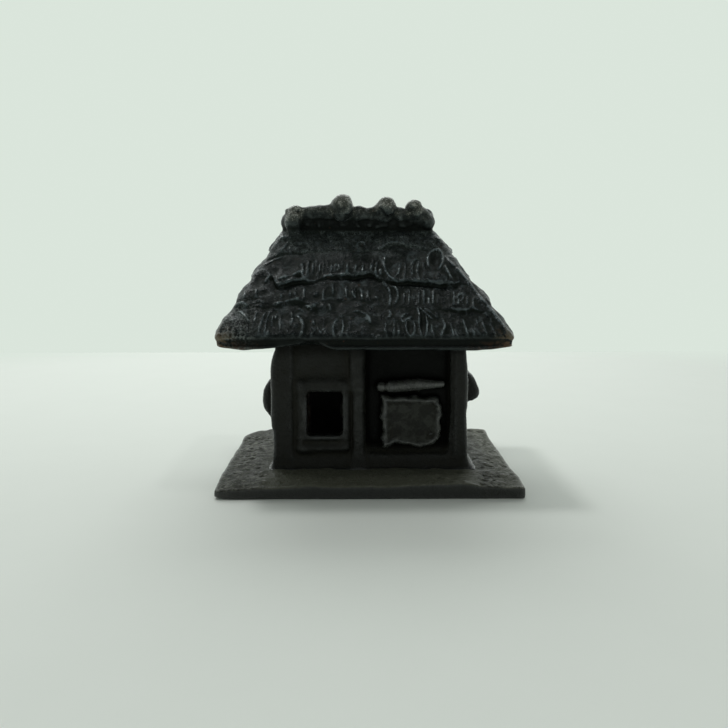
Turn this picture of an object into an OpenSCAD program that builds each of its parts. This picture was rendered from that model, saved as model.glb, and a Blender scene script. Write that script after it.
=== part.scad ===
// Still bank in the form of a small thatched farmhouse, sand cast in three
// pieces: a base plate, a wall shell and a hollow hipped roof. Two long screws
// from below clamp the three castings together. Coins go in through a slot in
// the rear roof slope and come out through a swinging trap under the base.
// Millimetres. Origin at the middle of the resting face, +Z up, the front
// of the house faces -Y.

/* [Base plate] */
// Width of the base plate, left to right
base_w = 88; // [86:0.5:96]
// Depth of the base plate, front to back
base_d = 67; // [66:0.5:76]
// Thickness of the plate at its edge
base_t = 4; // [3.8:0.1:5]
// Depth of the relieved pocket in the underside
relief = 2.2; // [2.2:0.1:2.3]

/* [Walls] */
// Outer width of the house walls
wall_w = 60.2; // [60:0.2:64]
// Outer depth of the house walls
wall_d = 35; // [35:0.2:38]
// Thickness of the side and rear walls
wall_t = 3; // [2.6:0.1:3]
// Thickness of the front wall
front_t = 4; // [3.6:0.1:4]
// Height of the top edge of the walls above the table
wall_top = 52; // [51.5:0.25:53]

/* [Window] */
// Clear width of the window opening
window_w = 10; // [8:0.5:11]
// Clear height of the window opening
window_h = 12.7; // [10:0.1:14]

/* [Roof] */
// Width of the roof at the eaves
eave_w = 84.8; // [83:0.2:90]
// Depth of the roof at the eaves
eave_d = 63; // [60:0.5:66]
// Height of the underside of the eaves above the table
eave_z = 43.3; // [42.5:0.1:44.5]
// Height of the eave edge
eave_t = 2.9; // [2:0.1:3.5]
// Height at which the thatch meets the ridge roll
ridge_z = 76; // [75:0.5:79]
// Number of thatch courses up each slope
courses = 4; // [3:1:6]
// How far the lower edge of each course stands proud
course_step = 0.9; // [0.4:0.1:1.4]
// Wall thickness of the roof casting
shell_t = 3; // [2.6:0.1:3.2]

/* [Coin slot and trap] */
// Length of the coin slot
slot_l = 27; // [25:0.5:30]
// Width of the coin slot
slot_w = 3.2; // [2.6:0.1:3.6]
// Diameter of the trap hole in the base
trap_d = 25; // [24:0.5:25.5]

/* [Fasteners] */
// Shank diameter of the clamp screws
screw_d = 4; // [3.5:0.25:4]
// Shank diameter of the trap rivet
rivet_d = 3; // [2.5:0.25:3]

/* [Hidden] */
$fn = 48;
eps = 0.01;

iron = [0.13, 0.13, 0.125];
steel = [0.42, 0.41, 0.39];

// plinth under the walls
plinth_z = base_t + 0.6;
plinth_m = 3;
// inside faces of the walls
in_x = wall_w / 2 - wall_t;
in_yf = -wall_d / 2 + front_t;
in_yr = wall_d / 2 - wall_t;
// clamp screws stand on one diagonal of the chamber
screw_xy = [[-21.5, 8.2], [21.5, -8.2]];
pad_top = 8.2;
bore_top = 5.2;
// coin trap: hole centre, pivot, and the tongue opposite the pivot
trap_c = [-6, 0];
pivot = [7.5, 10.5];
swing = 104;
reach = norm(trap_c - pivot);
dir = (trap_c - pivot) / reach;
tongue_at = 15.5;
tongue_r = 2.8;
stop_r = 1.3;
cover_z = relief - 1.05;
cover_t = 0.95;
// ridge roll
ridge_x0 = -28;
ridge_x1 = 21.3;
ridge_r = 3.2;
ridge_half = 4.5;
roll_z = ridge_z + 5.3;
// the roof overhangs a little more on the left
roof_dx = -1.5;
// nut pockets
nut_z = 59;
nut_t = 3.2;
nut_s = 7;
// hollow of the roof
top_z = ridge_z - 3.2;

// ---- helpers ---------------------------------------------------------------
// a profile in X and Z, drawn through from y0 to y1
module through_y(y0, y1, pts)
    translate([0, y1, 0]) rotate([90, 0, 0]) linear_extrude(y1 - y0) polygon(pts);
// a profile in Y and Z, drawn through from x0 to x1
module through_x(x0, x1, pts)
    translate([x0, 0, 0]) rotate([90, 0, 90]) linear_extrude(x1 - x0) polygon(pts);
module box(a, b) translate(a) cube(b - a);
module rounded_plate(w, d, h, r)
    linear_extrude(h) union() {
        square([w - 2 * r, d], center = true);
        square([w, d - 2 * r], center = true);
        for (sx = [-1, 1], sy = [-1, 1])
            translate([sx * (w / 2 - r), sy * (d / 2 - r)]) circle(r);
    }
// one side of a stepped thatch slope, from the eave up to the ridge
function slope_pts(e, r, step) = [
    for (i = [0:courses - 1])
        let (a = i / courses, b = (i + 1) / courses, s = sign(e - r))
        each [
            [e + (r - e) * a + (i == 0 ? 0 : s * step), eave_z + eave_t + (ridge_z - eave_z - eave_t) * a - (i == 0 ? 0 : 0.5)],
            [e + (r - e) * b, eave_z + eave_t + (ridge_z - eave_z - eave_t) * b]
        ]
];
function back(l) = [for (i = [len(l) - 1:-1:0]) l[i]];
// closed section of the roof between a left and a right slope
function section(e0, r0, e1, r1) = concat(
    [[e0 + 1, eave_z], [e0, eave_z + 1]],
    slope_pts(e0, r0, course_step),
    back(slope_pts(e1, r1, course_step)),
    [[e1, eave_z + 1], [e1 - 1, eave_z]]);
// the hollow under one slope: a vertical lip, then parallel to the slope
function hollow_side(e, r) = let (
        s = sign(e - r),
        run = abs(e - r), rise = ridge_z - eave_z - eave_t,
        w = shell_t * sqrt(run * run + rise * rise) / rise,
        k = run / rise,
        lip = abs(e) - shell_t - 0.6,
        x_at_eave = abs(e) + eave_t * k - w,
        z_lip = eave_z + max(0.3, (x_at_eave - lip) / k),
        x_lip = min(lip, x_at_eave - 0.3 * k),
        x_top = x_at_eave - (top_z - eave_z) * k)
    [[s * x_lip, eave_z - 1], [s * x_lip, z_lip], [s * x_top, top_z]];

// ---- base plate ------------------------------------------------------------
module base_plate() color(iron) difference() {
    union() {
        difference() {
            rounded_plate(base_w, base_d, base_t, 2.5);
            translate([0, 0, -1]) rounded_plate(base_w - 14, base_d - 14, relief + 1, 4);
        }
        // plinth that the walls stand on
        translate([0, 0, relief])
            rounded_plate(wall_w + 2 * plinth_m, wall_d + 2 * plinth_m, plinth_z - relief, 3);
        // pads for the clamp screws
        for (p = screw_xy) translate([p[0], p[1], relief]) cylinder(r = 5.2, h = pad_top - relief);
        // corner lugs that locate the walls
        for (sx = [-1, 1], sy = [-1, 1]) {
            yy = sy < 0 ? in_yf + 0.3 : in_yr - 0.3;
            xx = sx * (in_x - 0.3);
            box([min(xx, xx - sx * 7), min(yy, yy - sy * 2), plinth_z - 0.5],
                [max(xx, xx - sx * 7), max(yy, yy - sy * 2), plinth_z + 2.5]);
            box([min(xx, xx - sx * 2), min(yy, yy - sy * 6), plinth_z - 0.5],
                [max(xx, xx - sx * 2), max(yy, yy - sy * 6), plinth_z + 2.5]);
        }
        // stops for the trap cover, closed and open
        for (a = [0, swing]) {
            rd = [dir[0] * cos(a) - dir[1] * sin(a), dir[0] * sin(a) + dir[1] * cos(a)];
            tg = (a == 0 ? -1 : 1) * [-rd[1], rd[0]];
            c = pivot + rd * (reach + tongue_at) + tg * (tongue_r + stop_r + 0.45);
            translate([c[0], c[1], 0.9]) cylinder(r = stop_r, h = relief);
        }
    }
    // trap hole
    translate([trap_c[0], trap_c[1], -1]) cylinder(d = trap_d, h = 20);
    // clamp screws: clearance hole and counterbore
    for (p = screw_xy) {
        translate([p[0], p[1], -1]) cylinder(d = screw_d + 0.5, h = 20);
        translate([p[0], p[1], -1]) cylinder(r = 4, h = bore_top + 1);
    }
    // trap rivet
    translate([pivot[0], pivot[1], -1]) cylinder(d = rivet_d + 0.1, h = 20);
}

// ---- walls -----------------------------------------------------------------
post_y = -wall_d / 2;
module hood(s, z, w, out) // lean-to hood on a side wall, s = -1 left or 1 right
    translate([s * (wall_w / 2 - 0.6), 0, z])
        scale([s, 1, 1]) translate([0, w / 2, 0]) rotate([90, 0, 0]) linear_extrude(w)
            union() {
                translate([out - 2.4 + 0.6, 0]) circle(2.4);
                polygon([[0, 5.4], [0, -2], [out - 2.4, -2.4], [out - 0.2, 1.2]]);
            }
module house_walls() color(iron) union() {
    difference() {
        union() {
            box([-wall_w / 2, -wall_d / 2 + 0.4, plinth_z], [wall_w / 2, wall_d / 2, wall_top]);
            // skirt at the foot
            intersection() {
                through_y(-wall_d, wall_d, [[-wall_w / 2 - 2.4, plinth_z], [wall_w / 2 + 2.4, plinth_z],
                    [wall_w / 2 + 0.8, plinth_z + 1.4], [wall_w / 2, plinth_z + 3.6],
                    [-wall_w / 2, plinth_z + 3.6], [-wall_w / 2 - 0.8, plinth_z + 1.4]]);
                through_x(-wall_w, wall_w, [[-wall_d / 2 - 2.4, plinth_z], [wall_d / 2 + 2.4, plinth_z],
                    [wall_d / 2 + 0.8, plinth_z + 1.4], [wall_d / 2, plinth_z + 3.6],
                    [-wall_d / 2, plinth_z + 3.6], [-wall_d / 2 - 0.8, plinth_z + 1.4]]);
            }
            // corner posts, front and rear
            box([-wall_w / 2, post_y, plinth_z], [-23.3, 0, wall_top]);
            box([24.2, post_y, plinth_z], [wall_w / 2, 0, wall_top]);
            for (s = [-1, 1])
                box([s < 0 ? -wall_w / 2 : wall_w / 2 - 5.5, 0, plinth_z],
                    [s < 0 ? -wall_w / 2 + 5.5 : wall_w / 2, wall_d / 2 + 0.5, wall_top]);
            // lintel under the eaves and sill
            box([-23.6, post_y, 36], [-2, 0, wall_top]);
            box([-23.6, post_y - 0.2, plinth_z], [24.5, 0, 9.8]);
            // hoods on the two side walls
            hood(-1, 22.6, 15, 4.4);
            hood(1, 25.2, 15, 6.1);
        }
        // chamber
        box([-in_x, in_yf, plinth_z - 1], [in_x, in_yr, wall_top + 1]);
        // shallow panel round the window and the deep bay to its right
        box([-23.3, post_y - 1, 9.8], [-5.8, post_y + 0.8, 36]);
        box([-2, post_y - 3, 9.4], [24.2, post_y + 2.2, wall_top - 6]);
        // window opening
        box([-13.7 - window_w / 2, -40, 21.5 - window_h / 2],
            [-13.7 + window_w / 2, 0, 21.5 + window_h / 2]);
    }
    // centre post
    intersection() {
        translate([-4, post_y + 1.2, plinth_z]) cylinder(r = 1.9, h = 42 - plinth_z);
        box([-10, -40, 0], [10, in_yf - 1, 60]);
    }
    // raised window frame
    difference() {
        box([-22.4, post_y - 0.1, 10.0], [-7.4, post_y + 1, 29.6]);
        box([-13.7 - window_w / 2 - 1, -40, 21.5 - window_h / 2 - 1],
            [-13.7 + window_w / 2 + 1, 0, 21.5 + window_h / 2 + 1]);
    }
    // hanging mat and the pole that it hangs from
    box([3.4, post_y + 0.5, 10.6], [22.8, post_y + 2.6, 27.4]);
    translate([2.4, post_y + 0.9, 29.2]) rotate([0, 87, 0]) cylinder(r1 = 1.4, r2 = 1.1, h = 20.4);
    // rear door leaf
    box([-8, wall_d / 2 - 0.5, 9], [8, wall_d / 2 + 0.6, 34]);
}

// ---- roof ------------------------------------------------------------------
module log(x, z, r, l) // short log laid across the ridge
    translate([x, 0, z]) {
        rotate([90, 0, 0]) cylinder(r = r, h = l - 2 * r, center = true);
        for (s = [-1, 1]) translate([0, s * (l / 2 - r), 0]) sphere(r);
    }
module roof_solid() {
    intersection() {
        through_y(-eave_d, eave_d, section(roof_dx - eave_w / 2, ridge_x0, roof_dx + eave_w / 2, ridge_x1));
        through_x(-eave_w, eave_w, section(-eave_d / 2, -ridge_half, eave_d / 2, ridge_half));
    }
}
module roof_hollow()
    intersection() {
        through_y(-eave_d, eave_d, concat(hollow_side(roof_dx - eave_w / 2, ridge_x0), back(hollow_side(roof_dx + eave_w / 2, ridge_x1))));
        through_x(-eave_w, eave_w, concat(hollow_side(-eave_d / 2, -ridge_half), back(hollow_side(eave_d / 2, ridge_half))));
    }
slot_z = 65.5;
slot_tan = (ridge_z - eave_z - eave_t) / (eave_d / 2 - ridge_half);
slot_y = eave_d / 2 - (slot_z - eave_z - eave_t) / slot_tan;
module roof() color(iron) difference() {
    union() {
        difference() {
            roof_solid();
            roof_hollow();
        }
        intersection() {
            roof_solid();
            union() {
                // seat ring that stands on the wall tops
                difference() {
                    box([-wall_w / 2, -wall_d / 2, wall_top], [wall_w / 2, wall_d / 2, 90]);
                    box([-in_x + 2.1, in_yf + 2.1, 0], [in_x - 2.1, in_yr - 2.1, 100]);
                }
                // bosses for the square nuts
                for (p = screw_xy)
                    box([p[0] - 5.5, p[1] - 5.5, 56], [p[0] + 5.5, p[1] + 5.5, 75]);
            }
        }
        // locating lip inside the walls
        difference() {
            box([-in_x + 0.3, in_yf + 0.3, wall_top - 2.5], [in_x - 0.3, in_yr - 0.3, wall_top + 1]);
            box([-in_x + 2.1, in_yf + 2.1, 0], [in_x - 2.1, in_yr - 2.1, 100]);
        }
        // ridge roll and the logs laid across it
        translate([ridge_x0 + 3.4, 0, roll_z]) rotate([0, 90, 0])
            cylinder(r = ridge_r, h = ridge_x1 - ridge_x0 - 6.8);
        for (x = [ridge_x0 + 3.4, ridge_x1 - 3.4]) translate([x, 0, roll_z]) sphere(ridge_r);
        box([ridge_x0 + 1.8, -ridge_r + 0.5, ridge_z - 2], [ridge_x1 - 1.8, ridge_r - 0.5, roll_z]);
        log(-23.8, roll_z + 0.6, 2.8, 12.5);
        log(-8.4, roll_z + 3.4, 3.7, 14.5);
        log(5.4, roll_z + 3, 3.4, 14);
        log(14.3, roll_z + 3.3, 2.5, 12.5);
    }
    // coin slot through the rear slope
    translate([0, slot_y, slot_z]) rotate([-(90 - atan(slot_tan)), 0, 0])
        cube([slot_l, slot_w, 12], center = true);
    // nut pockets, open towards the middle, and screw holes
    for (p = screw_xy) {
        s = sign(p[0]);
        box([min(p[0] + s * (nut_s / 2 + 0.15), p[0] - s * 9), p[1] - nut_s / 2 - 0.15, nut_z - 0.1],
            [max(p[0] + s * (nut_s / 2 + 0.15), p[0] - s * 9), p[1] + nut_s / 2 + 0.15, nut_z + nut_t + 0.2]);
        translate([p[0], p[1], 50]) cylinder(d = screw_d + 0.5, h = 15.5);
    }
}

// ---- fasteners -------------------------------------------------------------
module clamp_screws() color(steel) for (p = screw_xy) translate([p[0], p[1], 0]) difference() {
    union() {
        // slotted round head
        translate([0, 0, relief + 0.3]) rotate_extrude()
            polygon([[0, 0], [2.2, 0], [3.0, 0.45], [3.4, 1.2], [3.4, 2.1], [0, 2.1]]);
        translate([0, 0, relief + 2.3]) cylinder(d = screw_d, h = 60 - 0.5);
        translate([0, 0, relief + 61.8]) cylinder(d1 = screw_d, d2 = screw_d - 1, h = 0.5);
    }
    box([-5, -0.45, 0], [5, 0.45, relief + 1.3]);
}
module screw_washers() color(steel) for (p = screw_xy)
    translate([p[0], p[1], bore_top - 0.6]) difference() {
        cylinder(r = 3.8, h = 0.6);
        translate([0, 0, -1]) cylinder(d = screw_d + 0.3, h = 3);
    }
module square_nuts() color(steel) for (p = screw_xy)
    translate([p[0], p[1], nut_z]) difference() {
        translate([-nut_s / 2, -nut_s / 2, 0]) cube([nut_s, nut_s, nut_t]);
        translate([0, 0, -1]) cylinder(d = screw_d + 0.04, h = nut_t + 2);
    }

// ---- coin trap -------------------------------------------------------------
module trap_cover() color(steel) difference() {
    c2 = trap_c + dir * tongue_at;
    // a tangent strap joins the disc to its pivot ear and to its tongue
    translate([0, 0, cover_z]) linear_extrude(cover_t) union() {
        translate(trap_c) circle(d = trap_d + 4, $fn = 96);
        hull() {
            translate(pivot) circle(4, $fn = 32);
            translate(trap_c + [0, 0]) circle(9, $fn = 32);
        }
        hull() {
            translate(c2) circle(tongue_r, $fn = 32);
            translate(trap_c) circle(8, $fn = 32);
        }
    }
    translate([pivot[0], pivot[1], -1]) cylinder(d = rivet_d + 0.1, h = 10);
    // thumbnail hole in the tongue
    translate([c2[0], c2[1], -1]) cylinder(r = 1, h = 10);
}
module trap_rivet() color(steel) translate([pivot[0], pivot[1], 0]) {
    rotate_extrude() polygon([[0, 0.15], [2.0, 0.15], [3.0, 0.5], [3.0, 0.75], [0, 0.75]]);
    translate([0, 0, 0.7]) cylinder(d = rivet_d, h = plinth_z + 0.6 - 0.6);
    translate([0, 0, plinth_z + 0.6]) rotate_extrude()
        polygon([[0, 0], [2.3, 0], [2.1, 0.5], [1.2, 0.9], [0, 1.0]]);
}
module rivet_burr() color(steel) translate([pivot[0], pivot[1], plinth_z]) difference() {
    cylinder(r = 2.8, h = 0.6);
    translate([0, 0, -1]) cylinder(d = rivet_d + 0.1, h = 3);
}
module spring_washer() color(steel) translate([pivot[0], pivot[1], 0.75])
    rotate_extrude() polygon([[rivet_d / 2 + 0.05, 0], [rivet_d / 2 + 0.4, 0],
        [3.3, cover_z - 0.75 - 0.02 - 0.18], [3.3, cover_z - 0.75 - 0.02], [2.9, cover_z - 0.75 - 0.02], [rivet_d / 2 + 0.05, 0.18]]);

base_plate();
house_walls();
roof();
clamp_screws();
screw_washers();
square_nuts();
trap_cover();
trap_rivet();
rivet_burr();
spring_washer();
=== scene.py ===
import math

import bpy
import numpy as np
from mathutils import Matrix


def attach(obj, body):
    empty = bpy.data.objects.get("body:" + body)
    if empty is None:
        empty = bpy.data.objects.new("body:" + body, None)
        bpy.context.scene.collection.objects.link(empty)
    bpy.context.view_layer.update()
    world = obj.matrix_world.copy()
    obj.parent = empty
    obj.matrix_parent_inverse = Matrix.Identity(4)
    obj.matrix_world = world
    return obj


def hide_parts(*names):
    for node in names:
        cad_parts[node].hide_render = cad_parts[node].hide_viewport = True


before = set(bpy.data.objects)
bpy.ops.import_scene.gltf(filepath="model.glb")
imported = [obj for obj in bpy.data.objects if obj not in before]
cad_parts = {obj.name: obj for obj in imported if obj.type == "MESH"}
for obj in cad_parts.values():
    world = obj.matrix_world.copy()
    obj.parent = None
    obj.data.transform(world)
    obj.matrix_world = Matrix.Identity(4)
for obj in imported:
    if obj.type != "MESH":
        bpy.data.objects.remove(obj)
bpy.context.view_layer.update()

import openvdb as vdb
from mathutils import Matrix, Vector

H = 0.3          # voxel edge of the cast surfaces, mm
scene = bpy.context.scene
rng = np.random.default_rng(20)

# =============================================================================
# camera: the photograph's viewing angle. Positions in mm here, metres in Blender.
# =============================================================================
FPX = 730.0
CAM = np.array([-4.12, -235.49, 68.95])
PITCH = math.atan(107.0 / FPX)
YAW = math.atan(8.0 / FPX * math.cos(PITCH))
C_F = np.array([math.sin(YAW) * math.cos(PITCH), math.cos(YAW) * math.cos(PITCH), -math.sin(PITCH)])
C_R = np.array([math.cos(YAW), -math.sin(YAW), 0.0])
C_U = np.cross(C_R, C_F)


def on_plane(u, v, n, c):
    """Point where the sight line through view point (u, v) meets the plane n.p = c."""
    d = C_F + C_R * (u - 364) / FPX + C_U * (364 - v) / FPX
    n = np.asarray(n, float)
    return CAM + d * ((c - n @ CAM) / (n @ d))


cam_data = bpy.data.cameras.new("camera")
cam_data.sensor_width = 36.0
cam_data.sensor_fit = "HORIZONTAL"
cam_data.lens = 36.0 * FPX / 728.0
cam_data.clip_start, cam_data.clip_end = 0.005, 20.0
cam = bpy.data.objects.new("camera", cam_data)
scene.collection.objects.link(cam)
m = Matrix.Identity(4)
for i in range(3):
    m[i][0], m[i][1], m[i][2], m[i][3] = C_R[i], C_U[i], -C_F[i], CAM[i] / 1000
cam.matrix_world = m
scene.camera = cam

# =============================================================================
# distance fields on a grid
# =============================================================================
f32 = np.float32


def smin(a, b, k):
    if k <= 0:
        return np.minimum(a, b)
    t = np.maximum(k - np.abs(a - b), 0) / k
    return np.minimum(a, b) - t * t * (k * 0.25)


def smax(a, b, k):
    if k <= 0:
        return np.maximum(a, b)
    t = np.maximum(k - np.abs(a - b), 0) / k
    return np.maximum(a, b) + t * t * (k * 0.25)


class Field:
    def __init__(s, lo, hi, h=H):
        s.h = h
        s.lo = np.array(lo, float)
        n = [int(math.ceil((b - a) / h)) + 1 for a, b in zip(lo, hi)]
        s.x, s.y, s.z = [(l + h * np.arange(k)).astype(f32) for l, k in zip(lo, n)]
        s.shape = tuple(n)
        s.d = None

    @property
    def X(s): return s.x[:, None, None]

    @property
    def Y(s): return s.y[None, :, None]

    @property
    def Z(s): return s.z[None, None, :]

    def window(s, lo, hi, pad):
        sl = []
        for ax, l, b in zip((s.x, s.y, s.z), lo, hi):
            i0 = int(np.searchsorted(ax, l - pad))
            i1 = int(np.searchsorted(ax, b + pad))
            sl.append(slice(max(0, i0), max(i0, i1)))
        return tuple(sl)

    def local(s, lo, hi, pad):
        w = s.window(lo, hi, pad)
        return w, s.x[w[0]][:, None, None], s.y[w[1]][None, :, None], s.z[w[2]][None, None, :]

    def add(s, lo, hi, fn, k=1.0, cut=False):
        """Joins (or cuts) a shape given by fn(X, Y, Z) inside the box lo..hi, with a blend of k mm."""
        w, X, Y, Z = s.local(lo, hi, k + 1.2)
        if min(len(s.x[w[0]]), len(s.y[w[1]]), len(s.z[w[2]])) == 0:
            return
        e = fn(X, Y, Z).astype(f32)
        s.d[w] = smax(s.d[w], -e, k) if cut else smin(s.d[w], e, k)

    def ball(s, c, r, k=1.0, sq=(1, 1, 1), cut=False):
        c = np.array(c, float); q = np.array(sq, float)
        R = r * q

        def fn(X, Y, Z):
            return (np.sqrt(((X - c[0]) / q[0]) ** 2 + ((Y - c[1]) / q[1]) ** 2 + ((Z - c[2]) / q[2]) ** 2) - r) * q.min()
        s.add(c - R, c + R, fn, k, cut)

    def rod(s, a, b, ra, rb=None, k=1.0, cut=False):
        """Round-ended rod from a to b whose radius goes from ra to rb."""
        a = np.array(a, float); b = np.array(b, float); rb = ra if rb is None else rb
        d = b - a; L2 = float(d @ d) + 1e-9; R = max(ra, rb)

        def fn(X, Y, Z):
            t = np.clip(((X - a[0]) * d[0] + (Y - a[1]) * d[1] + (Z - a[2]) * d[2]) / L2, 0, 1)
            return np.sqrt((X - a[0] - t * d[0]) ** 2 + (Y - a[1] - t * d[1]) ** 2 + (Z - a[2] - t * d[2]) ** 2) - (ra + (rb - ra) * t)
        s.add(np.minimum(a, b) - R, np.maximum(a, b) + R, fn, k, cut)

    def brick(s, lo, hi, r=0.5, k=0.8, cut=False):
        """Box with edges rounded to r."""
        lo = np.array(lo, float); hi = np.array(hi, float)
        c = (lo + hi) / 2; e = (hi - lo) / 2 - r

        def fn(X, Y, Z):
            qx, qy, qz = np.abs(X - c[0]) - e[0], np.abs(Y - c[1]) - e[1], np.abs(Z - c[2]) - e[2]
            out = np.sqrt(np.maximum(qx, 0) ** 2 + np.maximum(qy, 0) ** 2 + np.maximum(qz, 0) ** 2)
            return out + np.minimum(np.maximum(qx, np.maximum(qy, qz)), 0) - r
        s.add(lo, hi, fn, k, cut)

    def drum(s, c, r, z0, z1, k=0.0, cut=False):
        """Upright cylinder."""
        def fn(X, Y, Z):
            q = np.sqrt((X - c[0]) ** 2 + (Y - c[1]) ** 2) - r
            return np.maximum(np.maximum(q, z0 - Z), Z - z1)
        s.add((c[0] - r, c[1] - r, z0), (c[0] + r, c[1] + r, z1), fn, k, cut)

    def noise(s, cell, seed):
        """Smooth noise of about -1..1 over the grid, lattice spacing cell (mm, one number or three)."""
        cell = (cell,) * 3 if np.isscalar(cell) else cell
        r = np.random.default_rng(seed)
        mats, dims = [], []
        for ax, c in zip((s.x, s.y, s.z), cell):
            t = (ax - ax[0]) / c + 1.5
            i = np.floor(t).astype(int); u = (t - i).astype(f32)
            n = int(i.max()) + 3
            M = np.zeros((len(ax), n), f32); rows = np.arange(len(ax))
            M[rows, i - 1] = (1 - u) ** 3 / 6
            M[rows, i] = (3 * u ** 3 - 6 * u ** 2 + 4) / 6
            M[rows, i + 1] = (-3 * u ** 3 + 3 * u ** 2 + 3 * u + 1) / 6
            M[rows, i + 2] = u ** 3 / 6
            mats.append(M); dims.append(n)
        g = r.uniform(-1, 1, dims).astype(f32) * 2.2
        g = np.tensordot(mats[0], g, (1, 0))
        g = np.moveaxis(np.tensordot(mats[1], g, (1, 1)), 0, 1)
        return np.tensordot(g, mats[2], (2, 1))

    def sample(s, vol, p):
        """Trilinear sample of vol at points p."""
        q = (p - s.lo) / s.h
        q = np.clip(q, 0, np.array(s.shape) - 1.001)
        i = q.astype(int); t = (q - i).astype(f32)
        out = 0
        for a in (0, 1):
            for b in (0, 1):
                for c in (0, 1):
                    w = (t[:, 0] if a else 1 - t[:, 0]) * (t[:, 1] if b else 1 - t[:, 1]) * (t[:, 2] if c else 1 - t[:, 2])
                    out = out + w * vol[i[:, 0] + a, i[:, 1] + b, i[:, 2] + c]
        return out

    def blur(s, vol, r):
        """Box blur of radius r voxels along each axis."""
        for ax in range(3):
            p = np.concatenate([np.take(vol, [0] * (r + 1), ax), vol, np.take(vol, [-1] * r, ax)], ax)
            c = np.cumsum(p, ax, dtype=np.float64)
            n = vol.shape[ax]
            vol = ((np.take(c, range(2 * r + 1, 2 * r + 1 + n), ax) - np.take(c, range(0, n), ax)) / (2 * r + 1)).astype(f32)
        return vol

    def mesh(s, name, adapt=0.0):
        """Surface of the field as a Blender object in metres, with hollow and edge attributes."""
        lim = 3 * s.h
        for ax in range(3):        # closed at the grid's own walls
            sl = [slice(None)] * 3
            for e in (0, -1):
                sl[ax] = e
                s.d[tuple(sl)] = np.maximum(s.d[tuple(sl)], s.h)
        d = np.clip(s.d, -lim, lim).astype(f32)
        g = vdb.FloatGrid(); g.background = float(lim)
        g.copyFromArray(d)
        pts, tri, quad = g.convertToPolygons(isovalue=0.0, adaptivity=adapt)
        p = pts.astype(float) * s.h + s.lo
        # positive in hollows, negative on raised edges
        dd = np.clip(s.d, -2.4, 2.4)
        r1 = max(1, round(0.6 / s.h)); r2 = max(2, round(1.5 / s.h))
        b1 = s.blur(s.blur(dd, r1), r1); b2 = s.blur(s.blur(dd, r2), r2)
        c1 = s.sample(dd - b1, p); c2 = s.sample(dd - b2, p)
        quad, tri = np.asarray(quad), np.asarray(tri)
        nq, nt = len(quad), len(tri)
        me = bpy.data.meshes.new(name)
        me.vertices.add(len(p))
        me.vertices.foreach_set("co", (p / 1000).astype(f32).ravel())
        me.loops.add(4 * nq + 3 * nt)
        me.loops.foreach_set("vertex_index", np.concatenate([quad.ravel(), tri.ravel()]).astype(np.int32))
        me.polygons.add(nq + nt)
        me.polygons.foreach_set("loop_start", np.concatenate([4 * np.arange(nq), 4 * nq + 3 * np.arange(nt)]).astype(np.int32))
        me.update(calc_edges=True)
        me.validate()
        me.polygons.foreach_set("use_smooth", np.ones(len(me.polygons), bool))
        for nm, val in (("fine_relief", c1), ("broad_relief", c2)):
            a = me.attributes.new(nm, "FLOAT", "POINT")
            a.data.foreach_set("value", np.ascontiguousarray(val, f32))
        ob = bpy.data.objects.new(name, me)
        scene.collection.objects.link(ob)
        return ob, p


def curve(pts):
    """Piecewise linear curve through measured points."""
    a = np.array(sorted(pts), float)

    def f(x):
        return np.interp(x, a[:, 0], a[:, 1])
    return f


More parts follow.
